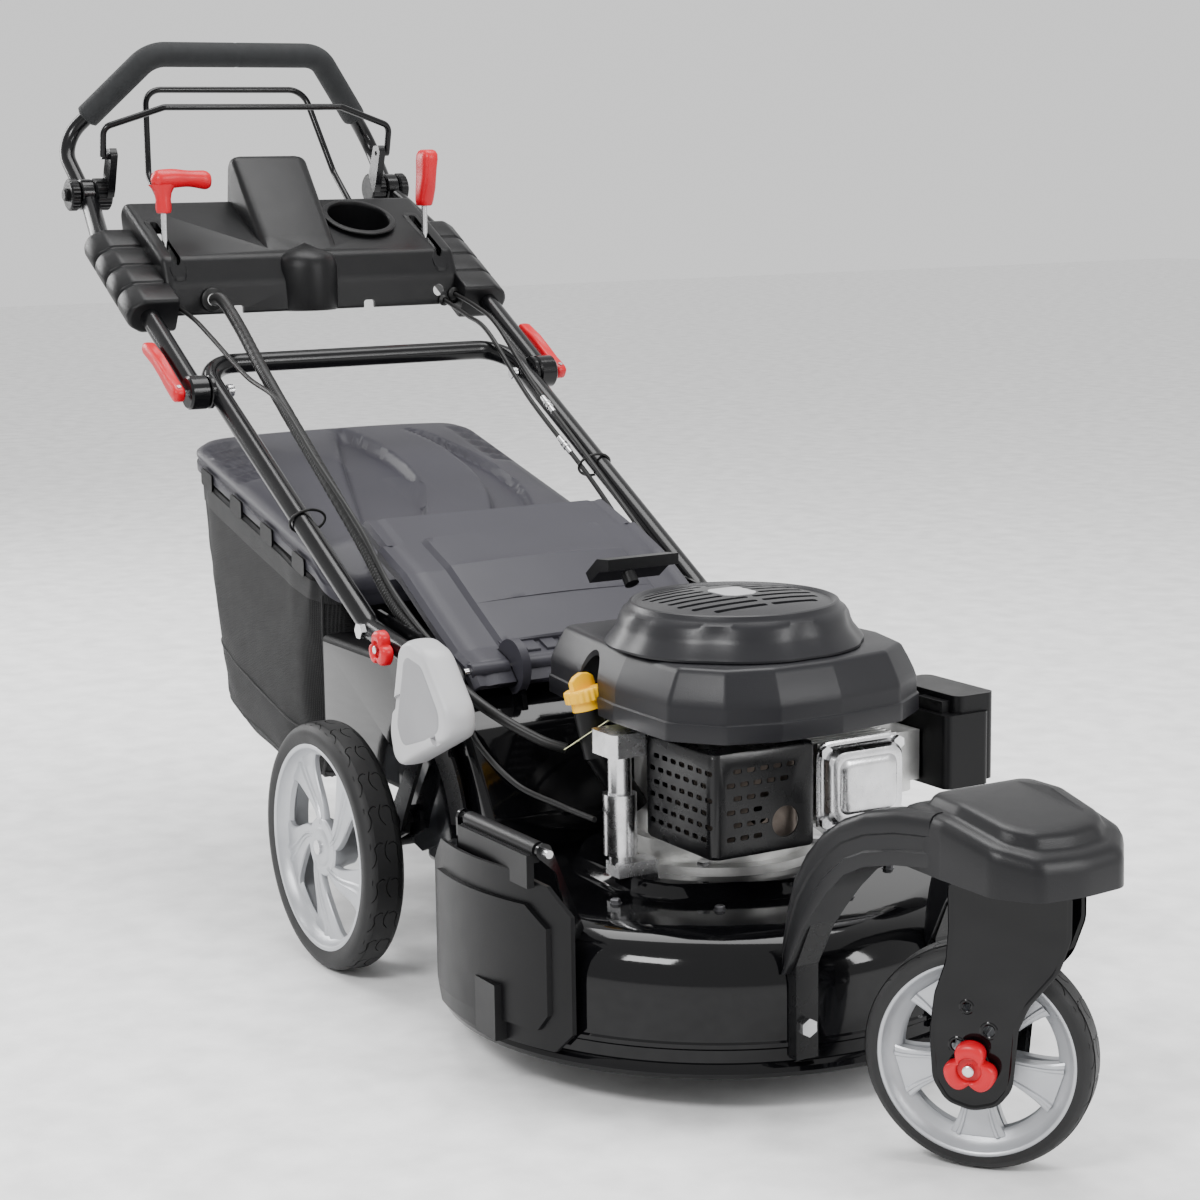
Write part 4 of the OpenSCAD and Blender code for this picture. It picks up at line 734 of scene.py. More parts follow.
def deck():
    """The dished deck with its chute: gloss black sheet with a stepped top and a double rolled edge."""
    lift = [(0.35, 5.0, 0.3), (0.16, 7.0, 1.7), (0.10, 11.0, 4.0)]

    def edge(a, i):
        # the raised middle isn't round: its edge wanders in and out
        if i not in plateau:
            return 0
        return 9 * sum(p * math.sin(k * a + s) for p, k, s in lift)

    profile = [
        (0, 184.8), (0, 187), (136, 187), (139, 186.4), (142, 184.5), (148, 176), (151, 173.6),
        (155, 172.2),
        (160, 172), (228, 172), (240, 171.2), (252, 168), (262, 162.2), (270, 154), (276, 143.5),
        (279.5, 132),
        (280.5, 120), (280.8, 74), (282.5, 72), (282.5, 68), (280.8, 66), (280.8, 54), (283.5, 52.5),
        (286.5, 49.5),
        (287.8, 45), (286.5, 40.5), (283, 38.6), (279, 40), (277.9, 44), (278.2, 130), (273, 145),
        (262, 158), (246, 167), (230, 169.8), (158, 169.8), (149, 171), (144, 178), (138, 184.8)
    ]
    plateau = {i for i, (r, z) in enumerate(profile) if 134 < r < 165}
    verts, faces = turned(profile, 144, at(DECK[0], 0, 0), closed=True, wave=edge)
    shell = plain("deck_shaped", verts, faces)
    sheet = 2.5

    def chute(half, inset):
        line = [
            (262 - inset, 140), (262 - inset, 215), (215 - inset, 300 - inset), (140, 351.5 - inset),
            (-150 - inset * 3, 351.5 - inset), (-150 - inset * 3, 204 + inset), (112 + inset, 204 + inset),
            (112 + inset, 140)
        ]
        block = plain("chute", *prism(rounded(line, [0, 10, 40, 24, 0, 0, 8, 0]), -half, half, "y"))
        return block

    outer = chute(197.8, 0)
    mod = outer.modifiers.new("edges", "BEVEL")
    mod.width, mod.segments, mod.limit_method = 0.014, 4, "ANGLE"
    mod.angle_limit = math.radians(50)
    apply_modifiers(outer)
    dome = plain("dome_room",
                 *turned([(0, 30), (278, 30), (278, 130), (262, 158), (230, 169.8), (158, 169.8),
                                       (138, 184.8), (0, 184.8)], 96, at(DECK[0], 0, 0)))
    inner = chute(195.2, sheet)
    window = plain("window", *prism(box_outline(328, 478, 58, 140), -303, -183, "y"))
    for cutter in (dome, inner):
        mod = outer.modifiers.new("cut", "BOOLEAN")
        mod.object, mod.operation, mod.solver = cutter, "DIFFERENCE", "EXACT"
    apply_modifiers(outer)
    for cutter in (inner, window):
        mod = shell.modifiers.new("cut", "BOOLEAN")
        mod.object, mod.operation, mod.solver = cutter, "DIFFERENCE", "EXACT"
    mod = shell.modifiers.new("join", "BOOLEAN")
    mod.object, mod.operation, mod.solver = outer, "UNION", "EXACT"
    apply_modifiers(shell)
    for spare in (dome, inner, window, outer):
        bpy.data.objects.remove(spare)
    finish_piece(shell, "gloss_black", "deck", 28)
    # the chute behind the dish has a duller coat
    shell.data.materials.append(M["chute_black"])
    for polygon in shell.data.polygons:
        if polygon.center.x < at(112, 0, 0).x:
            polygon.material_index = 1
    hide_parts("deck_shell")
    # ears for the side flap's rod, with rounded tops
    ears = []
    for x0, outline in (
        (345, [(-276, 150), (-279.4, 250), (-277, 256), (-271, 258.6), (-264, 256), (-250, 160)]),
        (505, [(-240, 154), (-258, 228), (-279.4, 247), (-278, 255), (-271, 258.6), (-264, 256),
               (-228, 168)])
    ):
        ears.append(prism(rounded(outline, 5, 3), x0, x0 + 4, "x"))
    for side in (-1, 1):
        line = [(152, 338), (200, 304), (186, 358), (178, 366.6), (164, 366)]
        ears.append(prism(rounded(line, 4, 3), side * 116 - 3, side * 116 + 3, "y"))
    add_mesh("deck_ears", *merge(*ears), "deck", "gloss_black", "black_paint")
    # small bolts on the plateau's edge
    bolts = [hex_head(at(390 + r * math.cos(math.radians(a)), r * math.sin(math.radians(a)), 171.6),
                      (0, 0, 1), 5.2, 5)
             for a, r in ((-66, 182), (-32, 176), (12, 184), (48, 178), (96, 180), (150, 190))]
    add_mesh("deck_bolts", *merge(*bolts), "deck", "dark_steel", "stamped_steel")


def finish_piece(obj, material, body, sharp=35.0):
    """Material, shading and body for a mesh made by cutting."""
    obj.data.materials.clear()
    obj.data.materials.append(M[material])
    for polygon in obj.data.polygons:
        polygon.use_smooth = True
        polygon.material_index = 0
    obj.data.set_sharp_from_angle(angle=math.radians(sharp))
    if body:
        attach(obj, body)
    return obj


def cover_arm_section(hand):
    """One arm of the front cover, as a loft of rounded sections along its length."""
    # (x of the top edge, z top, x low, z low, outer y, inner y)
    stations = [
        (655, 150, 655, 139, 101, 66), (656, 176, 661, 141, 101.5, 65.5), (661, 205, 672, 160, 101.5, 65),
        (671, 237, 688, 190, 101.5, 64.5), (690, 266, 706, 213, 101, 63), (712, 288, 726, 236, 100.5, 61.5),
        (741, 307, 748, 257, 98.5, 59.5), (772, 320, 772, 269.5, 94, 56), (804, 327, 806, 277.5, 85, 49),
        (846, 331, 846, 283, 78, 40)
    ]
    rings = []
    for tx, tz, lx, lz, out, inn in stations:
        ring = []
        # round the section: from the inner low edge up, over the top and down outside
        shape = [
            (0.0, 0.0), (0.0, 0.62), (0.02, 0.84), (0.08, 0.95), (0.18, 1.0), (0.36, 1.005), (0.64, 1.005),
            (0.80, 1.0), (0.90, 0.95), (0.965, 0.86), (0.985, 0.72), (0.985, 0.60), (0.93, 0.56),
            (0.93, 0.30),
            (0.985, 0.26), (0.99, 0.05), (0.97, 0.0)
        ]
        for across, up in shape:
            x, z = lx + (tx - lx) * up, lz + (tz - lz) * up
            y = inn + (out - inn) * across
            ring.append(at(x, y * hand, z))
        rings.append(ring)
    return loft(rings)


def front_cover():
    """Two arms that curve forward into a broad head with a raised, chamfered panel."""
    parts = [cover_arm_section(-1), cover_arm_section(1)]
    # head: rounded outline, soft top edge, thin skirt
    def plan(inset):
        line = [
            (796 + inset, -75 + inset), (862, -78.5 + inset), (926 - inset * 0.3, -73.5 + inset),
            (957 - inset, -46 + inset * 0.6),
            (961.5 - inset, 0), (957 - inset, 46 - inset * 0.6), (926 - inset * 0.3, 73.5 - inset),
            (862, 78.5 - inset),
            (796 + inset, 75 - inset)
        ]
        return rounded(line, [12, 40, 24, 20, 90, 20, 24, 40, 12], 6)

    def height(x, base):
        # the head falls towards its nose
        return base - max(0.0, (x - 846) / 112) ** 1.6 * 24

    rings = []
    for inset, up in ((0, 277), (0, 300), (0.3, 318), (1.4, 324), (4, 328.5), (8, 330.5), (12, 331),
                      (15, 331.4),
                      (17.5, 333), (20, 338.5), (22.5, 341), (26, 342.2), (34, 342.8)):
        ring = []
        for x, y in plan(inset):
            z = height(x, up) if up > 290 else up - max(0, (x - 880)) * 0.05
            ring.append(at(x, y, max(z, 273)))
        rings.append(ring)
    parts.append(loft(rings))
    obj = add_mesh("front_cover_shaped", *merge(*parts), "deck", "cover_plastic", "grey_plastic", 40)
    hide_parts("front_cover")
    # flat caps: a screw in each arm
    screws = [turned([(0, 0), (5, 0), (5, 1.6), (4, 2.2), (0, 2.2)], 20, at(700, hand * 79, 283),
                     (-0.55, 0, 0.83))
              for hand in (-1, 1)]
    add_mesh("cover_screws", *merge(*screws), "deck", "dark_steel", "stamped_steel")


def caster_fork():
    """Pressed channel fork: two legs with rolled edges, dimples round the axle and a flat crown."""
    t = 3.2
    inner = 31
    outline = [
        (-44, 266), (57, 266), (57, 226), (47, 196), (22, 164), (12, 140), (7.5, 86), (-4, 71), (-24, 65),
        (-45, 71), (-56, 88), (-59, 130), (-55, 165), (-45, 196), (-43, 226)
    ]
    smooth_line = rounded(outline, [6, 6, 30, 34, 34, 24, 22, 16, 22, 16, 22, 60, 30, 34, 20], 5)
    pieces = []
    for hand in (-1, 1):
        y0, y1 = (hand * inner, hand * (inner + t))
        leg = plain("leg", *prism(smooth_line, min(y0, y1), max(y0, y1), "y"))
        holes = []
        for x, z, r in ((-24, 104, 7), (-38, 120, 6.2), (-10, 136, 6.2), (-30, 156, 5.0)):
            holes.append(turned([(0, -30), (r, -30), (r, 30), (0, 30)], 28, at(x, hand * inner, z),
                                (0, 1, 0)))
        cutter = plain("leg_holes", *merge(*holes))
        carve(leg, [cutter])
        mesh = ([v.co.copy() for v in leg.data.vertices], [tuple(p.vertices) for p in leg.data.polygons])
        bpy.data.objects.remove(leg)
        # a rolled flange round the edge of the leg, and a raised ring round each hole
        rim_path = [(x, z) for x, z in smooth_line]
        n = len(rim_path)
        verts, faces = [], []
        for i, (x, z) in enumerate(rim_path):
            a, b = Vector(rim_path[i - 1]), Vector(rim_path[(i + 1) % n])
            d = (b - a).normalized()
            nx, nz = -d.y, d.x
            for off, dy in ((0.4, 0.2), (0.4, t), (-1.2, t + 1.6), (-3.2, t + 1.0), (-4.2, t - 0.2)):
                verts.append(at(x + nx * off * -1, hand * (inner + min(dy, 4.0)), z + nz * off * -1))
        m = 5
        for i in range(n):
            j = (i + 1) % n
            for k in range(m - 1):
                faces.append((i * m + k, j * m + k, j * m + k + 1, i * m + k + 1))
        rings = []
        for x, z, r in ((-24, 104, 15), (-38, 120, 8.4), (-10, 136, 8.4), (-30, 156, 7)):
            rings.append(turned([(r - 3.4, 0), (r, 0), (r - 1, 0.7), (r - 2.4, 0.7)], 32,
                                at(x, hand * (inner + t), z), (0, hand, 0)))
        pieces += [mesh, (verts, faces)] + rings
    crown = prism(rounded([(-44, -34.4), (57, -34.4), (57, 34.4), (-44, 34.4)], 10), 262.5, 267.6, "z")
    stem = turned([(0, 265), (12.3, 265), (12.3, 326), (10.5, 328), (0, 328)], 32, at(0, 0, 0))
    collar = turned([(12.6, 267.6), (22, 267.6), (22, 269.6), (12.6, 269.6)], 40, at(0, 0, 0))
    pieces += [crown, stem, collar]
    verts, faces = to_cast(merge(*pieces))
    obj = add_mesh("caster_fork_shaped", verts, faces, "caster", "gloss_black", "black_paint", 32)
    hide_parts("caster_fork")
    # axle with a flanged nut on the far side
    low, high = -45 + 2, 33
    axle = turned([(0, low), (4.8, low), (6, low + 1.4), (6, high), (0, high)], 24, at(-24, 0, 104),
                  (0, 1, 0))
    nut = hex_head(at(-24, 34.4, 104), (0, 1, 0), 8.6, 6)
    verts, faces = to_cast(merge(axle, nut))
    pin = add_mesh("front_axle_shaped", verts, faces, "caster", "zinc_steel", "stamped_steel")
    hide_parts("front_axle")


# ---------------------------------------------------------------- handle
FOLD = (-393, 619)
TUBE_A = math.atan2(237, -415)
ALONG = (math.cos(TUBE_A), math.sin(TUBE_A))
OUT_N = (math.cos(TUBE_A - math.pi / 2), math.sin(TUBE_A - math.pi / 2))
GRIP = (FOLD[0] + 478 * ALONG[0], FOLD[1] + 478 * ALONG[1])


def on_handle(s, y, up=0):
    return (FOLD[0] + s * ALONG[0] + up * OUT_N[0], y, FOLD[1] + s * ALONG[1] + up * OUT_N[1])


def flip(p):
    return (p[0], -p[1], p[2])


def disc(x, z, y0, y1, r, bevel=1.2, steps=40):
    """A disc across the mower with softened edges."""
    low, high = min(y0, y1), max(y0, y1)
    return turned([(0, low), (r - bevel, low), (r, low + bevel), (r, high - bevel), (r - bevel, high),
                   (0, high)],
                  steps, at(x, 0, z), (0, 1, 0))


def handle_tubes():
    lw, uw, gw, r = 216, 242.4, 227, 12.4
    line = [(118, -lw, 372), (30, -lw, 386), on_handle(58, -lw), on_handle(58, lw), (30, lw, 386),
            (118, lw, 372)]
    parts = [swept(arc_path(line, 46, 10), r, 28)]
    for hand in (-1, 1):
        parts.append(disc(*FOLD, hand * (uw - 19.4), hand * (uw - 13.2), 20.8))
        parts.append(disc(*FOLD, hand * (lw + 2), hand * (uw - 19.4), 12))
    lower = add_mesh("lower_handle_shaped", *merge(*parts), "deck", "tube_black", "black_paint", 40)
    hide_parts("lower_handle")
    parts = []
    for hand in (-1, 1):
        line = [on_handle(-6, hand * uw), on_handle(368, hand * uw), on_handle(452, hand * gw)]
        parts.append(swept(arc_path(line, 120, 10), r, 28))
        parts.append(disc(*FOLD, hand * (uw - 12.2), hand * (uw + 13.2), 20.8, 2.5))
        parts.append(disc(*GRIP, hand * (gw - 9.6), hand * (gw + 8.8), 20.6, 2))
    upper = add_mesh("upper_handle_shaped", *merge(*parts), "upper_handle", "tube_black", "black_paint", 40)
    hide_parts("upper_handle")
    bolts = []
    for hand in (-1, 1):
        bolts.append(disc(*FOLD, hand * 203, hand * 194.4, 7.8, 1))
        bolts.append(disc(*FOLD, hand * 203, hand * 262, 3.9, 0.2, 20))
        pin = Vector((FOLD[0], hand * 266.9, FOLD[1]))
        n = Vector((OUT_N[0], 0, OUT_N[1]))
        bolts.append(swept([pin - n * 10.8, pin + n * 10.8], 2.9, 16))
    add_mesh("clamp_bolts", *merge(*bolts), "upper_handle", "zinc_steel", "stamped_steel")


def cam_levers():
    """Red quick-release levers with a hollow back and a flared tip."""
    for hand, word in ((1, "left"), (-1, "right")):
        rings = []
        # along the lever: distance, middle height, half thickness, half width
        stations = [(-9.5, 0, 4.5, 5.0), (-7, 0, 8.0, 7.4), (-2, 0, 9.6, 7.9), (6, 0, 9.6, 7.9),
                    (20, -0.3, 8.8, 7.9),
                    (44, 1.2, 8.2, 7.9), (72, 1.6, 8.2, 7.9), (92, -0.8, 8.4, 7.9), (104, -2.2, 8.6, 7.9),
                    (109, -2.6, 6.5, 7.4), (111.4, -2.8, 3.4, 5.0)]
        for s, mid, half, wide in stations:
            ring = []
            for k in range(20):
                a = math.tau * k / 20
                c, d = math.cos(a), math.sin(a)
                u = abs(c) ** 0.55 * (1 if c >= 0 else -1)
                v = abs(d) ** 0.55 * (1 if d >= 0 else -1)
                dish = 1.0 if not (20 < s < 100) else 1.0 - 0.42 * max(0.0, v) * max(0, 1 - abs(u) * 1.3)
                p = on_handle(s, 266.9 + wide * u * 0.99, mid + half * v * dish)
                ring.append(at(p[0], p[1] * hand, p[2]))
            rings.append(ring)
        lever = add_mesh("cam_lever_shaped_" + word, *loft(rings), "cam_" + word, "red_plastic",
                         "red_plastic", 50)
        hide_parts("cam_lever_" + word)


LOOP_LOW = (GRIP[0] - 74, 232, 925)
LOOP_HIGH = (-811, 124, 1042)


def grip_and_bails():
    gw = 227
    start = (GRIP[0] - 15, gw, GRIP[1] + 12)
    line = [flip(start), flip(LOOP_LOW), flip(LOOP_HIGH), LOOP_HIGH, LOOP_LOW, start]
    parts = [swept(arc_path(line, 44, 10), 10.4, 24)]
    for hand in (-1, 1):
        outline = [(GRIP[0] + 20, GRIP[1] - 8), (GRIP[0] + 28, GRIP[1] + 6), (-764, 908), (-769, 917),
                   (-784, 916), (-790, 903),
                   (GRIP[0] + 6, GRIP[1] + 20)]
        parts.append(prism(rounded(outline, 3, 3), hand * 198 - 4.8, hand * 198 + 4.8, "y"))
    loop = add_mesh("grip_loop_shaped", *merge(*parts), "grip", "tube_black", "black_paint", 40)
    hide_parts("grip_loop")
    # foam with rounded ends and a fine seam round its middle
    high, low = Vector(LOOP_HIGH), Vector(LOOP_LOW)
    end = high + (low - high).normalized() * 125
    path = arc_path([flip(end), flip(high), tuple(high), tuple(end)], 44, 12)
    dense = []
    for a, b in zip(path, path[1:]):
        steps = max(1, int((Vector(b) - Vector(a)).length / 3))
        dense += [Vector(a).lerp(Vector(b), k / steps) for k in range(steps)]
    dense.append(Vector(path[-1]))

    def round_ends(t):
        d = min(t, 1 - t) * 620
        shape = 16.9 if d > 5 else 16.9 - (5 - d) ** 2 * 0.18
        seam = 0.55 * math.exp(-((t - 0.5) * 300) ** 2)
        return shape - seam

    foam = add_mesh("foam_grip_shaped", *swept(dense, round_ends, 32), "grip", "foam", "foam", 60)
    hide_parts("foam_grip")
    # star-shaped adjusters where the loop clamps to the handle
    for hand in (-1, 1):
        parts = []
        for y0, y1, r in ((gw + 10.4, gw + 23.6, 21.6), (gw - 33.6, gw - 11.4, 21.6)):
            low_y, high_y = sorted((hand * y0, hand * y1))

            def ridge(a, i):
                return (0.5 + 0.5 * math.cos(24 * a)) * -1.1 if i in (2, 3) else 0

            parts.append(turned([(0, low_y), (r - 3, low_y), (r, low_y + 2), (r, high_y - 2),
                                 (r - 3, high_y),
                                 (r - 8, high_y), (r - 9, high_y - 1.5 * hand), (0, high_y - 1.5 * hand)],
                                 96,
                                at(GRIP[0], 0, GRIP[1]), (0, 1, 0), wave=ridge))
        parts.append(disc(*GRIP, hand * (gw + 22), hand * (gw + 29.6), 8.6, 1.5))
        word = "right" if hand < 0 else "left"
        star = add_mesh("angle_adjuster_" + word, *merge(*parts), "grip", "black_plastic", "black_plastic",
                        35)
        if hand < 0:
            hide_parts("angle_adjusters")
    # bails
    bail = [(-776, -210, 906), (-768, -211, 944), (-752, -130, 970), (-752, 130, 970), (-768, 211, 944),
            (-776, 210, 906)]
    parts = [swept(arc_path(bail, 14, 7), 4.4, 16)]
    for hand in (-1, 1):
        parts.append(disc(-776, 906, hand * 193.2, hand * 212.6, 3.9, 0.4, 20))
    obj = add_mesh("engine_bail_shaped", *merge(*parts), "engine_bail", "tube_black", "black_paint", 45)
    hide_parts("engine_bail")
    bail = [(-734, -138, 826), (-800, -138, 880), (-852, -118, 996), (-852, 118, 996), (-800, 138, 880),
            (-734, 138, 826)]
    parts = [swept(arc_path(bail, 26, 8), 4.4, 16)]
    for hand in (-1, 1):
        parts.append(disc(-734, 826, hand * 134, hand * 151.6, 3.9, 0.4, 20))
        parts.append(disc(-734, 826, hand * 133.8, hand * 142.2, 6.4, 1.0, 24))
    obj = add_mesh("drive_bail_shaped", *merge(*parts), "drive_bail", "tube_black", "black_paint", 45)
    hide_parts("drive_bail")


# ---------------------------------------------------------------- grass bag
BAG_REAR, BAG_FRONT, BAG_HALF = -538, -158, 200


def rim_at(x):
    return 430 - 0.26 * (x - BAG_FRONT)


def resample(outline, count):
    """The same closed outline as count evenly spaced points."""
    points = [Vector(p) for p in outline]
    points.append(points[0])
    lengths = [(b - a).length for a, b in zip(points, points[1:])]
    total = sum(lengths)
    out, i, passed = [], 0, 0.0
    for k in range(count):
        target = total * k / count
        while passed + lengths[i] < target:
            passed += lengths[i]
            i += 1
        out.append(points[i].lerp(points[i + 1], (target - passed) / lengths[i]))
    return out


def smooth_step(low, high, value):
    t = min(1.0, max(0.0, (value - low) / (high - low)))
    return t * t * (3 - 2 * t)


def lid_relief(x, y):
    """How far the lid's top sinks at a point: two curved recesses and a corrugated shoulder on each side."""
    t = (x + 520) / 400
    if not -0.05 < t < 1.2:
        return 0.0
    bow = math.sin(math.pi * min(1, max(0, t)))
    left, right = -4 - 140 * t ** 0.9 if t > 0 else -4, 6 + 34 * bow - 84 * t * abs(t)
    broad = smooth_step(0, 9, y - left) * smooth_step(0, 9, right - y)
    near, far = 84 + 34 * bow - 72 * t * abs(t), 86 + 66 * bow - 8 * t
    narrow = smooth_step(0, 7, y - near) * smooth_step(0, 7, far - y)
    ends = smooth_step(-0.02, 0.1, t)
    side = smooth_step(150, 166, abs(y)) * smooth_step(-520, -506, x) * smooth_step(-372, -392,
                                                                                    x) if x < -372 else 0
    pleats = 5.5 * side * (0.5 + 0.5 * math.cos((x + 520) * math.tau / 27)) ** 0.6
    return (13 * broad + 10 * narrow) * ends + pleats


def bag_top():
    """The hard lid: a crowned cover with a rolled rim, curved recesses and a hollow underside."""
    def lift(x, up):
        fall = max(0.0, x - BAG_FRONT) / 52
        return rim_at(x) + up - 18 * fall - 9 * fall * (up > 5)

    levels = [(34, 8), (14, 2), (6, -8), (4, -13.2), (1.5, -13.5), (0.6, -12.6), (0.2, -3), (2.4, -1.5),
              (2.4, 3), (0.3, 5),
              (0.4, 9), (3, 15), (8, 20.5), (14, 23.8), (20, 25.6)]
    levels += [(20 + 3.6 * k, 25.6 + 6.8 * (1 - (1 - k / 46) ** 2)) for k in range(1, 47)]
    rings = []
    for inset, up in levels:
        ring = []
        outline = box_outline(BAG_REAR + inset, BAG_FRONT + 50 - inset * 0.45, -BAG_HALF + inset,
                              BAG_HALF - inset,
                              max(6, 34 - inset * 0.4), 7)
        for x, y in resample(outline, 200):
            slope = 1 - 0.25 * (abs(y) / BAG_HALF) ** 3 if up > 10 else 1
            sunk = lid_relief(x, y) if up > 22 else 0
            ring.append(at(x, y, lift(x, up * slope) - sunk))
        rings.append(ring)
    lid = add_mesh("bag_lid", *loft(rings), "grass_bag", "flap_grey", "grey_plastic", 50)
    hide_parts("bag_top")
    # clips that hold the cloth to the rim
    clips = []
    for side in (-1, 1):
        for k in range(4):
            x = -490 + 92 * k
            z = rim_at(x)
            line = rounded([(x, z - 22), (x + 34, z - 31), (x + 34, z - 9), (x, z - 1)], 4, 4)
            clips.append(prism(line, side * 201.2 - 1.4, side * 201.2 + 1.4, "y"))
    add_mesh("bag_clips", *merge(*clips), "grass_bag", "black_plastic", "grey_plastic", 40)


def bag_fabric():
    """A sewn cloth bag hung from the lid's rim: soft corners, sagging floor, folds and bound seams."""
    front = [(-158, 408), (-158, 330), (-159, 236), (-174, 192), (-216, 158), (-262, 147), (-300, 150)]
    rear = [(-536, 512), (-524, 430), (-498, 340), (-500, 262), (-506, 222), (-452, 176), (-366, 160)]
    half = [197, 198, 199, 196, 184, 150, 60]
    round_n = [9, 8, 7, 6, 5, 4, 3]
    fine = 9

    def spread(values):
        out = smooth_path([Vector((v, 0, 0)) for v in values], fine)
        return [p.x for p in out]

    f = smooth_path([Vector((x, 0, z)) for x, z in front], fine)
    r = smooth_path([Vector((x, 0, z)) for x, z in rear], fine)
    hs, ns = spread(half), spread(round_n)
    sides = 160
    rings = []
    for level, (a, b, h, n) in enumerate(zip(f, r, hs, ns)):
        share = level / (len(f) - 1)
        ring = []
        for k in range(sides):
            angle = math.tau * k / sides
            c, s = math.cos(angle), math.sin(angle)
            u = abs(c) ** (2 / n) * (1 if c >= 0 else -1)
            v = abs(s) ** (2 / n) * (1 if s >= 0 else -1)
            mid, reach = (a + b) / 2, (a - b) / 2
            p = Vector((mid.x + reach.x * u, h * v, mid.z + reach.z * u))
            # slack cloth: panels swell between their seams and fold towards the corners
            loose = math.sin(math.pi * min(1, share * 1.15)) ** 0.8 if share < 0.87 else 0.35
            swell = 5.5 * loose * (1 - abs(c * s) * 1.6)
            q = Vector((p.x * 0.011, p.y * 0.011, p.z * 0.007))
            fold = noise.noise(q) * 7 + noise.noise(q * 2.6 + Vector((3, 1, 7))) * 3.2
            drape = 2.4 * math.sin(angle * 22 + 5 * noise.noise(q * 1.4)) * max(0, 1 - share * 5) * 0.5
            pull = math.sin(p.z * 0.075 + 4 * noise.noise(q * 1.7)) * 1.7 * abs(2 * c * s)
            move = swell + (fold + pull) * loose * 0.75 + drape
            ring.append(at(p.x + move * c, p.y + move * s, p.z - (2.5 * share if share > 0.8 else 0)))
        rings.append(ring)
    cloth = add_mesh("bag_cloth_shaped", *loft(rings), "grass_bag", "bag_cloth", "bag_cloth", 60)
    cap_box(cloth, "bag_fabric", 3)
    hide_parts("bag_fabric")
    # seams: corded edges at the corners, two seams round the bag and a woven band under the lid
    seams = []
    for k in (20, 60, 100, 140):
        line = [to_mm(ring[k]) for ring in rings[3:-10]]
        seams.append(swept(line, 2.4, 8))
    for level in (22, 34):
        line = [to_mm(p) for p in rings[level]]
        seams.append(swept(line + line[:1], 1.5, 6, capped=False))
    add_mesh("bag_seams", *merge(*seams), "grass_bag", "bag_binding", "bag_cloth", 60)
    band = loft([[grow(p, 1.2) for p in rings[i]] for i in (1, 2, 3, 4)], capped=False)
    inner = loft([[grow(p, -0.4) for p in rings[i]] for i in (4, 1)], capped=False)
    add_mesh("bag_band", *merge(band, inner), "grass_bag", "bag_binding", "bag_cloth", 60)


def to_mm(p):
    return Vector(((p.x - AXLE_X) / MM, (p.y - AXLE_Y) / MM, p.z / MM))


def grow(p, by):
    """Moves a point of the bag away from the bag's upright middle line."""
    q = to_mm(p)
    away = Vector((q.x + 348, q.y, 0)).normalized()
    return p + away * (by * MM)


def cap_box(obj, node, spare):
    """Keeps every vertex within the node's box, grown by spare millimetres."""
    low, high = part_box(node)
    for vertex in obj.data.vertices:
        for i in range(3):
            vertex.co[i] = min(max(vertex.co[i], low[i] - spare * MM), high[i] + spare * MM)


# ---------------------------------------------------------------- engine
DOME = (426, 0)


def plan_line(inset):
    """The lower shroud's outline from above, drawn in by inset and rounded."""
    line = [
        (232, -96), (246, -116), (300, -124), (420, -140), (520, -140), (566, -104), (584, -50), (586, 20),
        (574, 100),
        (540, 148), (470, 166), (330, 160), (262, 140), (232, 110)
    ]
    n = len(line)
    out = []
    for i in range(n):
        p, a, b = Vector(line[i]), Vector(line[i - 1]), Vector(line[(i + 1) % n])
        u, v = (p - a).normalized(), (b - p).normalized()
        m = Vector((-u.y, u.x)), Vector((-v.y, v.x))
        bis = (m[0] + m[1]).normalized()
        out.append(tuple(p + bis * (inset / max(0.4, bis.dot(m[0])))))
    return rounded(out, [max(2, 14 - inset * 0.3)] * n, 5)


def engine_shroud():
    """Two-tier grey housing: a skirt with a rolled step, a sloping shoulder and a lip under the dome."""
    rings = []
    levels = [
        (2.6, 342), (0.4, 342), (0, 343.5), (0, 358), (0.2, 359.5), (2.0, 361), (2.3, 362.5), (2.3, 374),
        (2.8, 378),
        (5, 384.5), (10.5, 396.5), (15, 405), (16.8, 408.5), (19.5, 410.6), (22, 411.2)
    ]
    for inset, z in levels:
        rings.append([at(x, y, z) for x, y in plan_line(inset)])
    shell = plain("shroud_shell", *loft(rings))
    rings = [[at(x, y, z) for x, y in plan_line(inset)]
             for inset, z in ((4.4, 300), (4.4, 378), (19.5, 405.5))]
    hollow = plain("shroud_hollow", *loft(rings))
    bore = plain("shroud_bore",
                 *turned([(0, 380), (103.6, 380), (103.6, 430), (0, 430)], 96, at(390, 0, 0)))
    neck = plain("shroud_neck",
                 *turned([(0, 380), (18.6, 380), (18.6, 430), (0, 430)], 48, at(292, 102, 0)))
    tip = at(356, -134, 352)
    tilt = Vector((-10, -8, 56)).normalized()
    room = plain("shroud_room", *turned([(0, -40), (24, -40), (24, 80), (0, 80)], 64, tip, tilt))
    carve(shell, [hollow, bore, neck, room])
    finish_piece(shell, "satin_grey", "deck", 30)
    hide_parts("engine_shroud")


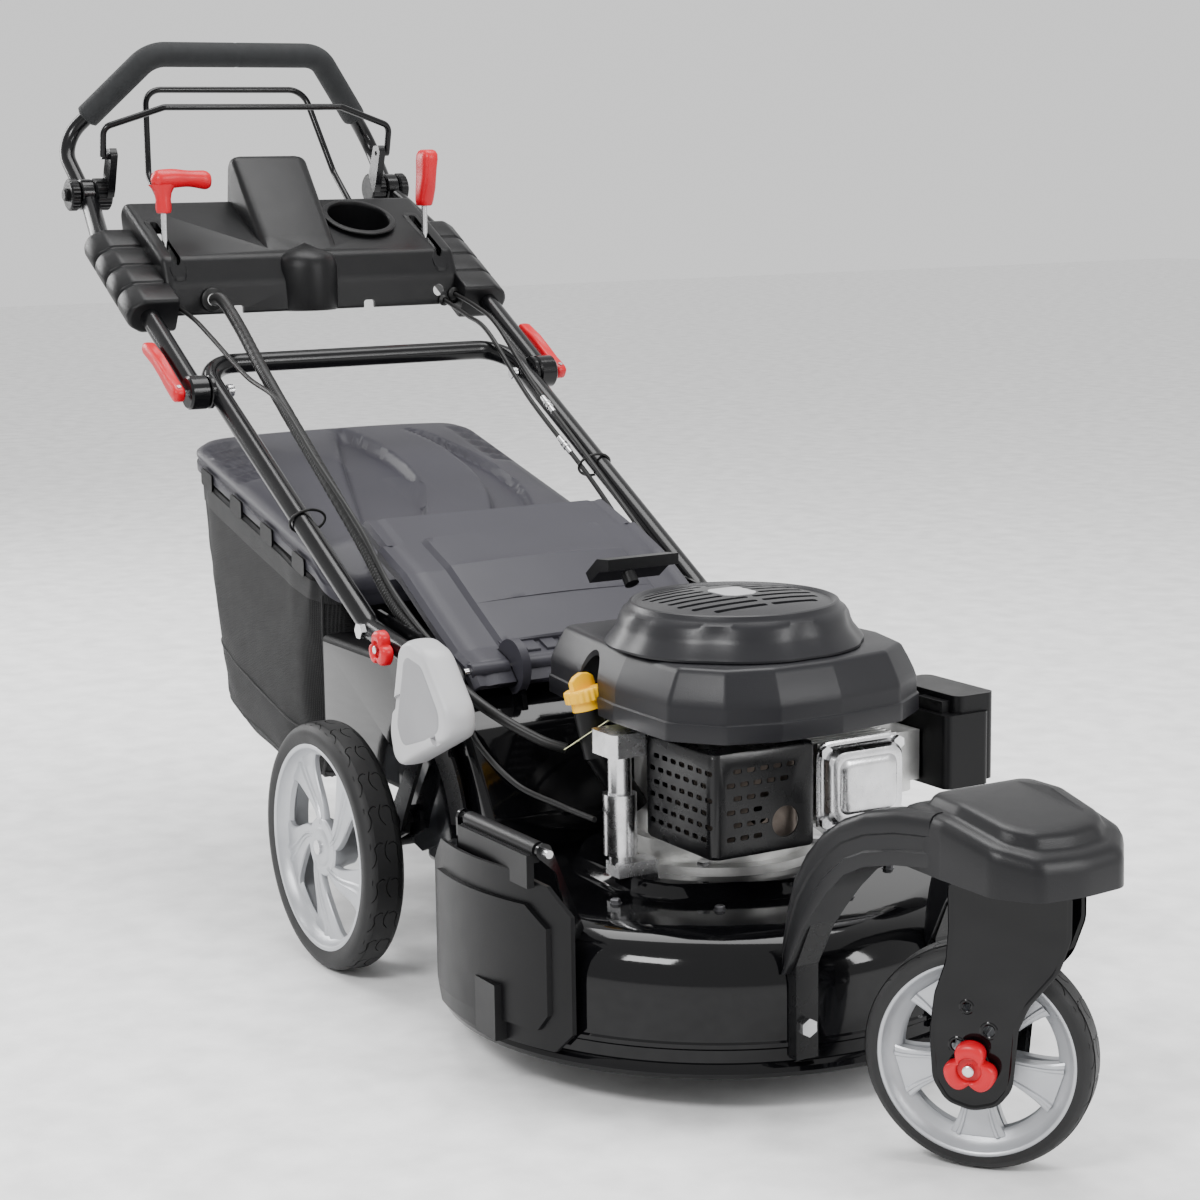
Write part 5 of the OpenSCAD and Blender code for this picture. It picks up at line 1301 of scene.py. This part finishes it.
def engine_cowl():
    """The dome: chamfered foot, raised ring and a round grille of curved slots."""
    profile = [
        (131.6, 412.2), (131.6, 414.5), (129.5, 417.6), (121, 428), (118.5, 433.5), (116.5, 440.5),
        (113, 445.6), (109.5, 448.2),
        (107.5, 450.4), (105.5, 453.6), (103.2, 454.6), (101, 453.8), (98.6, 451.6), (95, 452.2),
        (80, 455.4), (60, 458), (40, 459.6),
        (20, 460.6), (0, 461.0), (0, 456), (60, 453.8), (94, 447.6), (106, 441), (111.5, 430),
        (127.5, 412.2)
    ]

    def facet(a, i):
        # broad flats round the foot of the dome
        if i > 5:
            return 0
        return -2.6 * abs(math.sin(4 * (a + 0.35))) ** 6

    dome = plain("dome", *turned(profile, 192, at(*DOME, 0), wave=facet))
    # the grille: slots that run across the dome and bow towards the front
    slots = []
    for k in range(9):
        x = DOME[0] - 74 + 17.2 * k
        reach = math.sqrt(max(0, 88 ** 2 - (x - DOME[0]) ** 2))
        reach = min(reach, 80)
        if reach < 22:
            continue
        for side in (-1, 1):
            line = []
            inner = 22 if 2 <= k <= 5 else 3.2
            if reach - inner < 12:
                continue
            steps = 12
            for s in range(steps + 1):
                y = inner + (reach - inner) * s / steps
                line.append((x - 9 * (y / 80) ** 2 + 3.6, side * y))
            for s in range(steps + 1):
                y = reach - (reach - inner) * s / steps
                line.append((x - 9 * (y / 80) ** 2 - 3.6, side * y))
            slots.append(prism(rounded(line,
                                       [3.2] + [0] * (steps - 1) + [3.2, 3.2] + [0] * (steps - 1) + [3.2],
                                       3), 440, 480, "z"))
    grille = plain("grille", *merge(*slots))
    carve(dome, [grille])
    finish_piece(dome, "cowl_grey", "deck", 26)
    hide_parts("engine_cowl")
    # blank pale plate in the grille's middle, and the mesh floor under the slots
    plate = rounded([(DOME[0] - 24, -19), (DOME[0] + 13, -19), (DOME[0] + 21, -10), (DOME[0] + 21, 10),
                     (DOME[0] + 13, 19),
                     (DOME[0] - 24, 19)], [7, 8, 6, 6, 8, 7], 5)
    base = prism(plate, 458.4, 461.6, "z")
    badge = add_mesh("cowl_plate", *base, "deck", "pale_plastic", "pale_plastic")
    bevelled(badge, 0.8, 3)
    under = []
    for k in range(23):
        y = -88 + 8 * k
        reach = math.sqrt(max(0, 92 ** 2 - y * y))
        under.append(prism(box_outline(DOME[0] - reach, DOME[0] + reach, y - 1.1, y + 1.1), 443.5, 446.5,
                           "z"))
    add_mesh("cowl_screen", *merge(*under), "deck", "black_plastic", "black_plastic")


def muffler_guard():
    """Black pressed box with chamfered edges, brick-like slots and a round outlet."""
    rings = []
    for inset, z in ((6, 228.3), (2, 229.4), (0.2, 233), (0.2, 329), (2, 332.4), (6, 333.7), (30, 333.9)):
        rings.append([at(x, y, z) for x,
                      y in box_outline(440 + inset, 566 - inset, -118 + inset, 4 - inset, 9, 4)])
    box = plain("guard_box", *loft(rings))
    rings = [[at(x, y, z) for x, y in box_outline(442, 564, -116, 10, 7, 4)] for z in (230.5, 331.5)]
    hollow = plain("guard_hollow", *loft(rings))
    round_crank = plain("guard_round",
                        *turned([(0, 200), (85.4, 200), (85.4, 360), (0, 360)], 64, at(390, 0, 0)))
    slots = []
    for row in range(6):
        for k in range(7):
            x = 452 + 15.4 * k + (7.7 if row % 2 else 0)
            if x < 554:
                z = 246 + 13.2 * row
                slots.append(prism(rounded([(x, z), (x + 10, z), (x + 10, z + 5), (x, z + 5)], 2, 3), -125,
                                   -108, "y"))
    for row in range(6):
        for k in range(5):
            y = -102 + 15.4 * k + (7.7 if row % 2 else 0)
            z = 246 + 13.2 * row
            if abs(y + 4) > 0 and y < -30 and not (row in (0, 1, 2, 3) and -56 < y < 0):
                slots.append(prism(rounded([(y, z), (y + 10, z), (y + 10, z + 5), (y, z + 5)], 2, 3), 556,
                                   575, "x"))
    outlet = turned([(0, -20), (15.6, -20), (15.6, 20), (0, 20)], 36, at(566, -34, 258), (1, 0, 0))
    cuts = plain("guard_slots", *merge(*slots))
    hole = plain("guard_outlet", *outlet)
    carve(box, [hollow, round_crank, cuts, hole])
    finish_piece(box, "frame_black", "deck", 34)
    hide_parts("muffler_guard")


def valve_cover():
    """Stamped cover with a double contour and a flat flange."""
    low, high = (to_mm(p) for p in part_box("valve_cover"))
    reach = high.x - low.x
    rings = []
    for inset, share in ((0, 0.0), (0, 0.10), (1.4, 0.14), (5, 0.15), (6.4, 0.22), (7.4, 0.62), (10, 0.80),
                         (14, 0.85),
                         (17, 0.84), (18.6, 0.92), (22, 0.985), (26, 1.0)):
        rings.append([at(low.x + reach * share, y, z) for y, z in box_outline(
            low.y + inset, high.y - inset, low.z + inset, high.z - inset, max(5, 17 - inset * 0.35), 6)])
    cover = add_mesh("valve_cover_shaped", *loft(rings), "deck", "zinc_steel", "stamped_steel", 30)
    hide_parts("valve_cover")


def oil_parts():
    """Yellow dipstick cap with a finger lobe."""
    tip = at(356, -134, 352)
    tilt = Vector((-10, -8, 56)).normalized()

    def scallop(a, i):
        return -1.1 * (0.5 + 0.5 * math.cos(20 * a)) if 2 <= i <= 5 else 0

    cap = turned([(15.4, -8.5), (15.4, 1), (20.6, 1), (20.9, 2.2), (20.9, 10.5), (20.2, 12.6), (18, 13.8),
                  (9, 14), (8, 13.2), (0, 13.2),
                  (0, -1), (13, -1), (13, -8.5)], 120, tip, tilt, wave=scallop)
    along = Vector((0.35, -0.94, 0))
    along = (along - tilt * along.dot(tilt)).normalized()
    across = tilt.cross(along)
    rings = []
    for reach in (-17, -15.5, -10, 0, 10, 15.5, 17):
        lift = 30 - 6 * (reach / 17) ** 2
        wide = 4.6 - 1.6 * (abs(reach) / 17) ** 3
        ring = []
        for u, v in rounded([(-wide, 12.6), (wide, 12.6), (wide * 0.82, lift), (-wide * 0.82, lift)],
                            [0, 0, 2.6, 2.6], 4):
            ring.append(tip + along * (reach * MM) + across * (u * MM) + tilt * (v * MM))
        rings.append(ring)
    lobe = loft(rings)
    obj = add_mesh("oil_cap_shaped", *merge(cap, lobe), "oil_cap", "yellow_plastic", "yellow_plastic", 40)
    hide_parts("oil_cap")


# ---------------------------------------------------------------- console and its levers
CUP = Vector((-652, 104, 817))
THROTTLE_Y, SPEED_Y = -190, 186


def console_line(inset):
    """Side view of the console's shell: front skirt, sloping top and rounded back."""
    line = [(-560 - inset, 700), (-563 - inset, 742), (-577 - inset, 776 - inset),
            (-706 + inset * 0.4, 846 - inset),
            (-724 + inset, 836 - inset), (-716 + inset, 794)]
    return rounded(line, [3, 40, 16, 14, 10, 3], 6)


def along_y(line, stations):
    """Skin over the same outline at several places across the mower, each with its own inset."""
    rings = []
    for y, inset in stations:
        rings.append([at(x, y, z) for x, z in line(inset)])
    return loft(rings)


def console():
    shell = plain("console_body", *along_y(console_line, [
        (-210, 7), (-209.6, 4), (-208, 1.6), (-205, 0.4), (-200, 0), (200, 0), (205, 0.4), (208, 1.6),
        (209.6, 4), (210, 7)
    ]))

    def tongue_line(inset):
        line = [(-566, 706), (-575 - inset, 766), (-603 - inset, 801 - inset), (-692, 906 - inset * 0.8),
                (-712 + inset, 898 - inset), (-719 + inset, 836)]
        return rounded(line, [2, 30, 40, 12, 12, 2], 6)

    tongue = plain("console_tongue", *along_y(tongue_line, [
        (-62, 12), (-61.4, 7.5), (-59, 3.6), (-55, 1.2), (-48, 0), (32, 0), (39, 1.2), (43, 3.6),
        (45.4, 7.5), (46, 12)
    ]))
    nose = plain("console_nose", *turned([
        (0, 702), (38.5, 702), (41, 703.2), (41.8, 706), (41.8, 758), (39.5, 768), (35, 775), (0, 790)
    ], 64, at(-582, -8, 0)))
    hollow = plain("console_hollow", *prism(
        [(-566, 690), (-566, 742), (-581, 772), (-705, 841), (-719, 833), (-713, 690)], -206.5, 206.5, "y"))
    inside = plain("tongue_hollow", *prism(
        [(-573, 690), (-583, 768), (-611, 800), (-694, 899), (-707, 893), (-713.5, 836), (-712, 690)], -58,
        42, "y"))
    room = plain("nose_hollow", *turned([(0, 690), (39, 690), (39, 764), (0, 780)], 48, at(-582, -8, 0)))
    tilt = Vector((math.sin(math.radians(26)), 0, math.cos(math.radians(26))))
    cup_hole = plain("cup_hole", *turned([(0, -40), (45.4, -40), (45.4, 60), (0, 60)], 64, at(*CUP), tilt))
    slots = []
    for y in (THROTTLE_Y, SPEED_Y):
        slots.append(prism(rounded([(-656, y - 5), (-570, y - 5), (-570, y + 5), (-656, y + 5)], 4.5, 4),
                           756, 870, "z"))
    cut_slots = plain("console_slots", *merge(*slots))
    outlets = plain("console_outlets", *merge(
        turned([(0, -30), (13, -30), (13, 30), (0, 30)], 32, at(-560, -150, 722), (1, 0, 0)),
        turned([(0, -30), (8, -30), (8, 30), (0, 30)], 32, at(-560, 178, 722), (1, 0, 0))))
    # notches in the front skirt
    notches = plain("console_notches", *merge(*[
        prism(rounded([(y, 690), (y + 16, 690), (y + 16, 713), (y, 713)], [0, 0, 4, 4], 4), -590, -540, "x")
        for y in (-122, 66)
    ]))
    for other in (tongue, nose):
        mod = shell.modifiers.new("join", "BOOLEAN")
        mod.object, mod.operation, mod.solver = other, "UNION", "EXACT"
    apply_modifiers(shell)
    for other in (tongue, nose):
        bpy.data.objects.remove(other)
    carve(shell, [hollow, inside, room, cup_hole, cut_slots, outlets, notches])
    finish_piece(shell, "console_black", "upper_handle", 36)
    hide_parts("console")
    # cup holder with a stepped rim, and the raised frames of the two slots
    cup = turned([
        (0, -77), (36, -77), (40, -74), (44, -60), (44.6, 1), (47.4, 1.4), (50.4, 2.2), (51, 3.4),
        (50, 4.6), (46, 5.6),
        (43.4, 5.4), (42.4, 3.6), (42, 0), (41.4, -60), (37, -72), (0, -74)
    ], 96, at(*CUP), tilt)
    add_mesh("cup_holder", *cup, "upper_handle", "console_black", "grey_plastic", 32)
    slope = (776 - 846) / (706 - 577)
    frames = []
    for y in (THROTTLE_Y, SPEED_Y):
        outer = rounded([(-664, y - 11), (-564.5, y - 11), (-564.5, y + 11), (-664, y + 11)], 7, 5)
        inner = rounded([(-656, y - 5), (-572, y - 5), (-572, y + 5), (-656, y + 5)], 4.5, 5)

        def top(x, up):
            z = 776 + (x + 577) * slope if x < -577 else 776 + (x + 577) * -2.2
            return z + up

        rings = [[at(x, v, top(x, up)) for x, v in line] for line, up in (
            (outer, -2), (outer, 1.0),
            (rounded([(-662.5, y - 9.5), (-566, y - 9.5), (-566, y + 9.5), (-662.5, y + 9.5)], 6, 5), 1.9),
            (inner, 1.9), (inner, -6))]
        frames.append(loft(rings, capped=False))
    add_mesh("slot_frames", *merge(*frames), "upper_handle", "console_black", "grey_plastic", 32)
    # cheeks for the levers and lugs for the drive bail
    parts = []
    for y in (THROTTLE_Y, SPEED_Y):
        for side in (-1, 1):
            parts.append(prism(rounded([(-632, 738), (-600, 738), (-600, 785), (-632, 802)], 4, 3),
                               y + 12 * side - 2.4,
                               y + 12 * side + 2.4, "y"))
    for side in (-1, 1):
        line = rounded([(-712, 806), (-710, 838), (-736, 838), (-744, 826), (-737, 815)], 4, 4)
        parts.append(prism(line, side * 147 - 2.9, side * 147 + 2.9, "y"))
    add_mesh("console_lugs", *merge(*parts), "upper_handle", "frame_black", "grey_plastic")
    # ribbed end caps that wrap the tubes
    for hand, word in ((-1, "right"), (1, "left")):
        rings = []
        grooves = (216, 260, 304)
        stations = [(172, 5.5), (172.6, 3), (174.5, 1), (178, 0)]
        for g in grooves:
            stations += [(g - 4.5, 0), (g - 3, 0.8), (g - 2, 2.4), (g, 2.9), (g + 2, 2.4), (g + 3, 0.8),
                         (g + 4.5, 0)]
        stations += [(344, 0), (347.5, 1), (349.4, 3), (350, 5.5)]
        for s, inset in stations:
            flare = 2.5 * math.exp(-((s - 172) / 30) ** 2)
            shape = [(204, -25.5 + inset), (250, -25.5 + inset - flare * 0), (268.5 - inset, -14),
                     (272 - inset, 0),
                     (268.5 - inset, 13), (250, 24 - inset), (204, 24 - inset)]
            ring = []
            for y, up in rounded(shape, [3, 14, 16, 18, 16, 14, 3], 5):
                p = on_handle(s, y * hand, up)
                ring.append(at(*p))
            rings.append(ring)
        add_mesh("end_cap_" + word, *loft(rings), "upper_handle", "console_black", "grey_plastic", 34)


def control_levers():
    """Throttle with a T-shaped grip, and the speed lever with a flat paddle."""
    x0, z0 = -616, 752

    def stem(y):
        parts = [disc(x0, z0, y - 14, y + 14, 6.6, 0.6, 24), disc(x0, z0, y - 3, y + 3, 15.6, 0.6, 36)]
        parts.append(swept([(x0, y, z0), (x0 + 1, y, 790), (x0 + 2, y, 838)], 3.9, 14))
        return merge(*parts)

    add_mesh("throttle_stem", *stem(THROTTLE_Y), "throttle", "zinc_steel", "red_plastic", 40)
    rings = []
    # neck that swells into a bar lying across the mower
    for z, rx, ry in ((832, 7, 6.5), (833, 9.5, 9), (838, 10.5, 10.5), (850, 9.4, 10), (858, 9.6, 11.5),
                      (864, 10.4, 15), (869, 10.8, 20)):
        rings.append([at(x0 + 2 + rx * math.cos(math.tau * k / 28),
                         THROTTLE_Y + ry * math.sin(math.tau * k / 28) * 1.0, z)
                      for k in range(28)])
    neck = loft(rings)
    rings = []
    low, high = THROTTLE_Y - 15.5, THROTTLE_Y - 16 + 83.5
    for k in range(25):
        t = k / 24
        y = low + (high - low) * t
        end = min(t, 1 - t) * 67.5
        soft = math.sqrt(max(0.0, 1 - (1 - min(1, end / 9)) ** 2)) * 0.92 + 0.08
        waist = 1 - 0.16 * math.exp(-((t - 0.62) / 0.2) ** 2)
        up = 874.5 + 2.2 * math.sin(math.pi * t * 1.2)
        rings.append([at(x0 + 2 + 12.4 * soft * waist * math.cos(math.tau * j / 32), y,
                         up + (12.4 if math.sin(math.tau * j / 32) > 0
                               else 13.0) * soft * waist * math.sin(math.tau * j / 32))
                      for j in range(32)])
    grip = add_mesh("throttle_grip", *merge(neck, loft(rings)), "throttle", "red_plastic", "red_plastic",
                    50)
    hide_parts("throttle_lever")
    add_mesh("speed_stem", *stem(SPEED_Y), "speed", "zinc_steel", "red_plastic", 40)
    rings = []
    stations = [(834, -624, -604, 7), (835.5, -625, -603, 9.5), (842, -624.5, -601.5, 11),
                (858, -623, -594.5, 11.4),
                (872, -622.6, -590, 10.6), (886, -622, -587, 10.8), (896, -620.6, -585, 11.6),
                (903, -619, -585, 11.2),
                (907.6, -615, -588.5, 9.2), (909.4, -611, -593, 6)]
    for z, back, front, half in stations:
        ring = []
        for j in range(32):
            a = math.tau * j / 32
            c, s = math.cos(a), math.sin(a)
            u = abs(c) ** 0.6 * (1 if c > 0 else -1)
            v = abs(s) ** 0.6 * (1 if s > 0 else -1)
            ring.append(at((back + front) / 2 + (front - back) / 2 * u, SPEED_Y + half * v, z))
        rings.append(ring)
    paddle = add_mesh("speed_grip", *loft(rings), "speed", "red_plastic", "red_plastic", 50)
    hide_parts("speed_lever")


# ---------------------------------------------------------------- cables
CONDUIT = [(-552, -150, 722), (-520, -152, 722), (-440, -164, 694), (-330, -180, 644), (-240, -187, 596),
           (-146, -188, 536), (-45, -188, 468), (26, -188, 414), (90, -188, 385), (132, -188, 367),
           (190, -188, 342),
           (246, -174, 320), (286, -148, 300), (304, -128, 292)]
THROTTLE = [(-556, -196, 712), (-500, -198, 700), (-440, -200, 680), (-330, -202, 640), (-240, -200, 616),
            (-146, -198, 556), (-45, -192, 488), (26, -190, 430), (110, -190, 388), (184, -190, 364),
            (214, -199, 340), (246, -203, 300), (298, -186, 262), (363, -172, 251), (425, -166, 248)]


BAIL = [(-556, 200, 716), (-500, 204, 700), (-440, 202, 678), (-330, 196, 606), (-180, 192, 520),
        (-60, 189, 450),
        (26, 188, 402), (110, 188, 364), (180, 187, 350), (236, 166, 356)]
DRIVE = [(-556, 184, 708), (-500, 188, 690), (-440, 188, 670), (-330, 188, 590), (-180, 190, 500),
         (-60, 194, 412),
         (-24, 198, 378), (0, 205, 350), (20, 205, 290), (32, 205, 226), (42, 196, 178), (52, 120, 132),
         (58, 34, 125)]


def cable(name, route, diameter, ridged=False):
    """One sheathed cable from the console to the machine."""
    path = smooth_path(route, 12)
    length = sum((b - a).length for a, b in zip(path, path[1:])) * MM
    r = diameter / 2

    if ridged:
        fine = smooth_path(route, 70)

        def radius(t):
            # corrugated sleeve, then a smooth tapering boot before the fitting
            if t < 0.80:
                return r - 0.55 + 0.55 * math.cos(t * length * 1000 / 4.2 * math.tau)
            return r - 0.6 - 1.8 * min(1, (t - 0.80) / 0.14)

        verts, faces = swept(fine, radius, 14)
    else:
        verts, faces = swept(path, r, 12)
    tube = add_mesh(name, verts, faces, None, "cable_rubber", "rubber", 60)
    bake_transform(tube)
    return tube


def cables():
    """The ribbed sleeve, three sheathed cables, their fittings, and the ties and grommets that hold them."""
    sleeve = cable("conduit_sleeve", CONDUIT, 16, ridged=True)
    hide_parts("conduit")
    first = cable("throttle_cable", THROTTLE, 6)
    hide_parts("control_cables")
    cable("bail_cable", BAIL, 6)
    cable("drive_cable", DRIVE, 6)
    rings = []
    for x, y, z, inner, outer in ((-556, -150, 722, 7.6, 15), (-556, 200, 716, 3.2, 9),
                                  (-556, 184, 708, 3.2, 7.5)):
        rings.append(turned([(inner, -5), (outer - 3, -5), (outer - 3, 0), (outer, 0.4), (outer, 3),
                             (outer - 2, 4.6),
                             (inner + 1, 5.5), (inner, 4)], 32, at(x - 4, y, z), (1, 0, 0)))
    add_mesh("console_grommets", *merge(*rings), "upper_handle", "cable_rubber", "rubber", 45)
    # adjusters on the far cables: a steel barrel with two nuts
    barrels = []
    for route, share in ((BAIL, 0.36), (DRIVE, 0.30)):
        path = smooth_path(route, 12)
        i = int(share * len(path))
        d = (path[i + 2] - path[i]).normalized()
        barrels.append(turned([(2.2, -17), (3.4, -17), (3.6, -15), (3.6, -6), (4.6, -5.4), (4.6, -2.4),
                               (3.6, -2), (3.6, 2),
                               (4.6, 2.4), (4.6, 5.4), (3.6, 6), (3.6, 15), (3.4, 17), (2.2, 17)], 18,
                              at(*path[i]), d))
    add_mesh("cable_adjusters", *merge(*barrels), "deck", "zinc_steel", "stamped_steel", 40)
    # ties round the lower tubes
    ties = []
    for hand, x, z in ((-1, -150, 488), (1, -205, 520)):
        line = []
        d = Vector((FOLD[0] - 30, 0, FOLD[1] - 386)).normalized()
        across = Vector((d.z, 0, -d.x))
        centre = Vector((x, hand * 216, 386 + (x - 30) * (FOLD[1] - 386) / (FOLD[0] - 30)))
        for k in range(33):
            a = math.tau * k / 32
            line.append(centre + across * (16.0 * math.cos(a)) + Vector((0, 1,
                                                                         0))
                                                                         * (-hand * 7 + 22.0 * math.sin(a)))
        ties.append(swept(line, 1.7, 8, capped=False))
    add_mesh("cable_ties", *merge(*ties), "deck", "cable_rubber", "rubber", 60)


# ---------------------------------------------------------------- rear flap and height grip
def rear_flap():
    """Discharge cover: a stepped, softly crowned plate with ribs along its lower edge."""
    half = 178 - 6
    top = [(190, 343), (168, 365), (140, 373.5), (80, 407), (20, 441.5), (-40, 465), (-100, 487.5)]
    line = arc_path([Vector((x, 0, z)) for x, z in top], 18, 4)
    rings = []
    dense = [a.lerp(b, k / 6) for a, b in zip(line, line[1:]) for k in range(6)] + [line[-1]]
    n = len(dense)
    for i, p in enumerate(dense):
        d = (dense[min(i + 1, n - 1)] - dense[max(i - 1, 0)]).normalized()
        up = Vector((-d.z, 0, d.x))
        if up.z < 0:
            up = -up
        t = i / (n - 1)
        wide = half - 10 * max(0, t - 0.9) / 0.1
        top_line = []
        for k in range(65):
            y = -wide + 2 * wide * k / 64
            edge = wide - abs(y)
            h = -5 * (1 - smooth_step(0, 4, edge)) - 1.6 * smooth_step(10, 13,
                                                                       edge) * (1 - smooth_step(20, 23,
                                                                                                edge))
            # raised, crowned middle panel with a bowed rear edge
            bow = 0.965 - 0.05 * (y / 120) ** 2
            panel = (1 - smooth_step(112, 119, abs(y))) * smooth_step(0.22, 0.25,
                                                                      t) * (1 - smooth_step(bow - 0.02, bow,
                                                                                            t))
            h += panel * (5 + 4.5 * (1 - (y / 120) ** 2) * math.sin(math.pi * min(1,
                                                                                  max(0, (t - 0.2)
                                                                                      / 0.78))))
            top_line.append((y, h))
        shape = [(-wide, -13.5)] + top_line + [(wide, -13.5), (wide - 3, -13.5), (wide - 3, -8),
                                               (-wide + 3, -8),
                                               (-wide + 3, -13.5)]
        rings.append([at((p + up * h).x, y, (p + up * h).z) for y, h in shape])
    plate = plain("flap_plate", *loft(rings))
    gaps = []
    for side in (-1, 1):
        gaps.append(turned([(0, side * 116 - 5), (30, side * 116 - 5), (30, side * 116 + 5),
                            (0, side * 116 + 5)], 40,
                           at(172, 0, 356), (0, 1, 0)))
    carve(plate, [plain("flap_gaps", *merge(*gaps))])
    finish_piece(plate, "flap_grey", "rear_flap", 32)
    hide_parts("rear_flap")
    # ribs near the hinge and the hinge's knuckles
    parts = []
    for k in range(-5, 5):
        y = k * 24 + 12
        parts.append(prism(rounded([(131, 372), (161, 363), (161, 370), (133, 380)], 1.5, 3), y - 8, y + 8,
                           "y"))
    knuckles = [disc(172, 356, side * 124, side * 170, 8.8, 0.8, 28) for side in (-1, 1)]
    knuckles.append(disc(172, 356, -108, 108, 8.8, 0.8, 28))
    add_mesh("flap_ribs", *merge(*parts, *knuckles), "rear_flap", "flap_grey", "grey_plastic", 40)


def height_grip():
    """Two-tone moulded hand grip of the height lever, soft all round with a finger hollow."""
    outline = [(190, 398), (212, 408), (250, 400), (300, 345), (300, 318), (262, 300), (176, 262),
               (164, 300)]
    rings = []
    for y, inset in ((-264, 9), (-263.4, 5.5), (-261.6, 3), (-258, 1.2), (-252, 0.2), (-246, 0),
                     (-240, 0.2), (-234, 1.2),
                     (-230.4, 3), (-228.6, 5.5), (-228, 9)):
        ring = []
        pts = rounded(outline, [20, 26, 34, 30, 18, 60, 18, 26], 7)
        mid = Vector((sum(p[0] for p in pts) / len(pts), sum(p[1] for p in pts) / len(pts)))
        for x, z in pts:
            q = Vector((x, z))
            q = q + (mid - q).normalized() * inset
            ring.append(at(q.x, y, q.y))
        rings.append(ring)
    body = plain("grip_body", *loft(rings))
    carve(body, [plain("grip_cut", *turned([(58, -275), (70, -275), (70, -259), (58, -259)], 64,
                                           at(214, 0, 280), (0, 1, 0)))])
    finish_piece(body, "pale_plastic", "axle", 34)
    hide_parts("height_grip")
    line = [Vector((x, z)) for x,
            z in rounded([(206, 392), (246, 386), (284, 342), (284, 322), (250, 306), (196, 290),
                          (184, 312)],
                                               [14, 20, 20, 16, 12, 14, 16], 6)]
    mid = sum(line, Vector((0, 0))) / len(line)
    rings = []
    for inset, y in ((0, -260), (0.4, -263.4), (2.2, -264.2), (6, -264.4)):
        rings.append([at(p.x + (mid - p).normalized().x * inset, y, p.y + (mid - p).normalized().y * inset)
                      for p in line])
    add_mesh("grip_pad", *loft(rings), "axle", "pad_grey", "pale_plastic", 40)


# ---------------------------------------------------------------- finishes of the CAD's own solids
FINISH = {
    "deck_shell": ("gloss_black", 1.2), "front_frame": ("frame_black", 0.8),
    "front_cover": ("cover_plastic", 3),
    "side_plates": ("gloss_black", 0.8), "height_plate": ("frame_black", 0.8),
    "fasteners": ("zinc_steel", 0.4),
    "engine_block": ("cast_aluminium", 1.0), "valve_cover": ("zinc_steel", 2.0),
    "muffler": ("burnt_steel", 3.0),
    "muffler_guard": ("frame_black", 2.0), "carburettor": ("cast_aluminium", 1.0),
    "air_box": ("black_plastic", 2.5),
    "fuel_tank": ("pale_plastic", 3.0), "fuel_cap": ("black_plastic", 1.0),
    "engine_shroud": ("satin_grey", 2.5),
    "engine_cowl": ("cowl_grey", 2.0), "oil_filler": ("black_plastic", 0.8), "oil_tag": ("tag_card", 0.2),
    "starter_motor": ("zinc_steel", 1.0), "drive_belt": ("cable_rubber", 0.4),
    "crankshaft": ("dark_steel", 0.4),
    "flywheel": ("cast_aluminium", 0.8), "blade_holder": ("cast_iron", 0.8),
    "blade": ("dark_steel", 0.5), "recoil_handle": ("black_plastic", 2.0),
    "oil_cap": ("yellow_plastic", 1.0),
    "axle_beam": ("frame_black", 0.8), "height_lever": ("frame_black", 0.8),
    "height_grip": ("pale_plastic", 4.0),
    "gearbox": ("cast_aluminium", 1.2), "gearbox_pulley": ("dark_steel", 0.5),
    "drive_shaft": ("zinc_steel", 0.4),
    "caster_fork": ("gloss_black", 0.8), "front_axle": ("zinc_steel", 0.5),
    "side_flap": ("black_plastic", 1.5), "rear_flap": ("satin_grey", 1.5), "bag_top": ("satin_grey", 2.5),
    "bag_fabric": ("bag_cloth", 2.0), "lower_handle": ("tube_black", 0.5),
    "lower_knobs": ("red_plastic", 1.0),
    "upper_handle": ("tube_black", 0.5), "console": ("console_black", 1.6), "conduit": ("cable_rubber", 0),
    "control_cables": ("cable_rubber", 0), "throttle_lever": ("red_plastic", 1.5),
    "speed_lever": ("red_plastic", 1.5),
    "cam_lever_right": ("red_plastic", 1.5), "cam_lever_left": ("red_plastic", 1.5),
    "angle_adjusters": ("black_plastic", 1),
    "grip_loop": ("tube_black", 0.5), "engine_bail": ("tube_black", 0), "drive_bail": ("tube_black", 0),
    "front_knob": ("red_plastic", 1), "foam_grip": ("foam", 0)
}


def finish_nodes():
    """Procedural materials and soft edges for the CAD solids that stay in view."""
    for name, (material, width) in FINISH.items():
        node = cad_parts[name]
        node.data.materials.clear()
        node.data.materials.append(M[material])
        if width and not node.hide_render:
            mod = node.modifiers.new("soft_edges", "BEVEL")
            mod.width = width * MM
            mod.segments = 3
            mod.limit_method = "ANGLE"
            mod.angle_limit = math.radians(32)
            mod.use_clamp_overlap = True


make_camera()
make_stage()
for build in (deck, front_cover, caster_fork, wheel_set, front_wheel_set, knobs, handle_tubes, cam_levers,
              grip_and_bails, bag_top, bag_fabric, engine_shroud, engine_cowl, muffler_guard, valve_cover,
              oil_parts, console, control_levers, rear_flap,
              height_grip, cables):
    build()
finish_nodes()
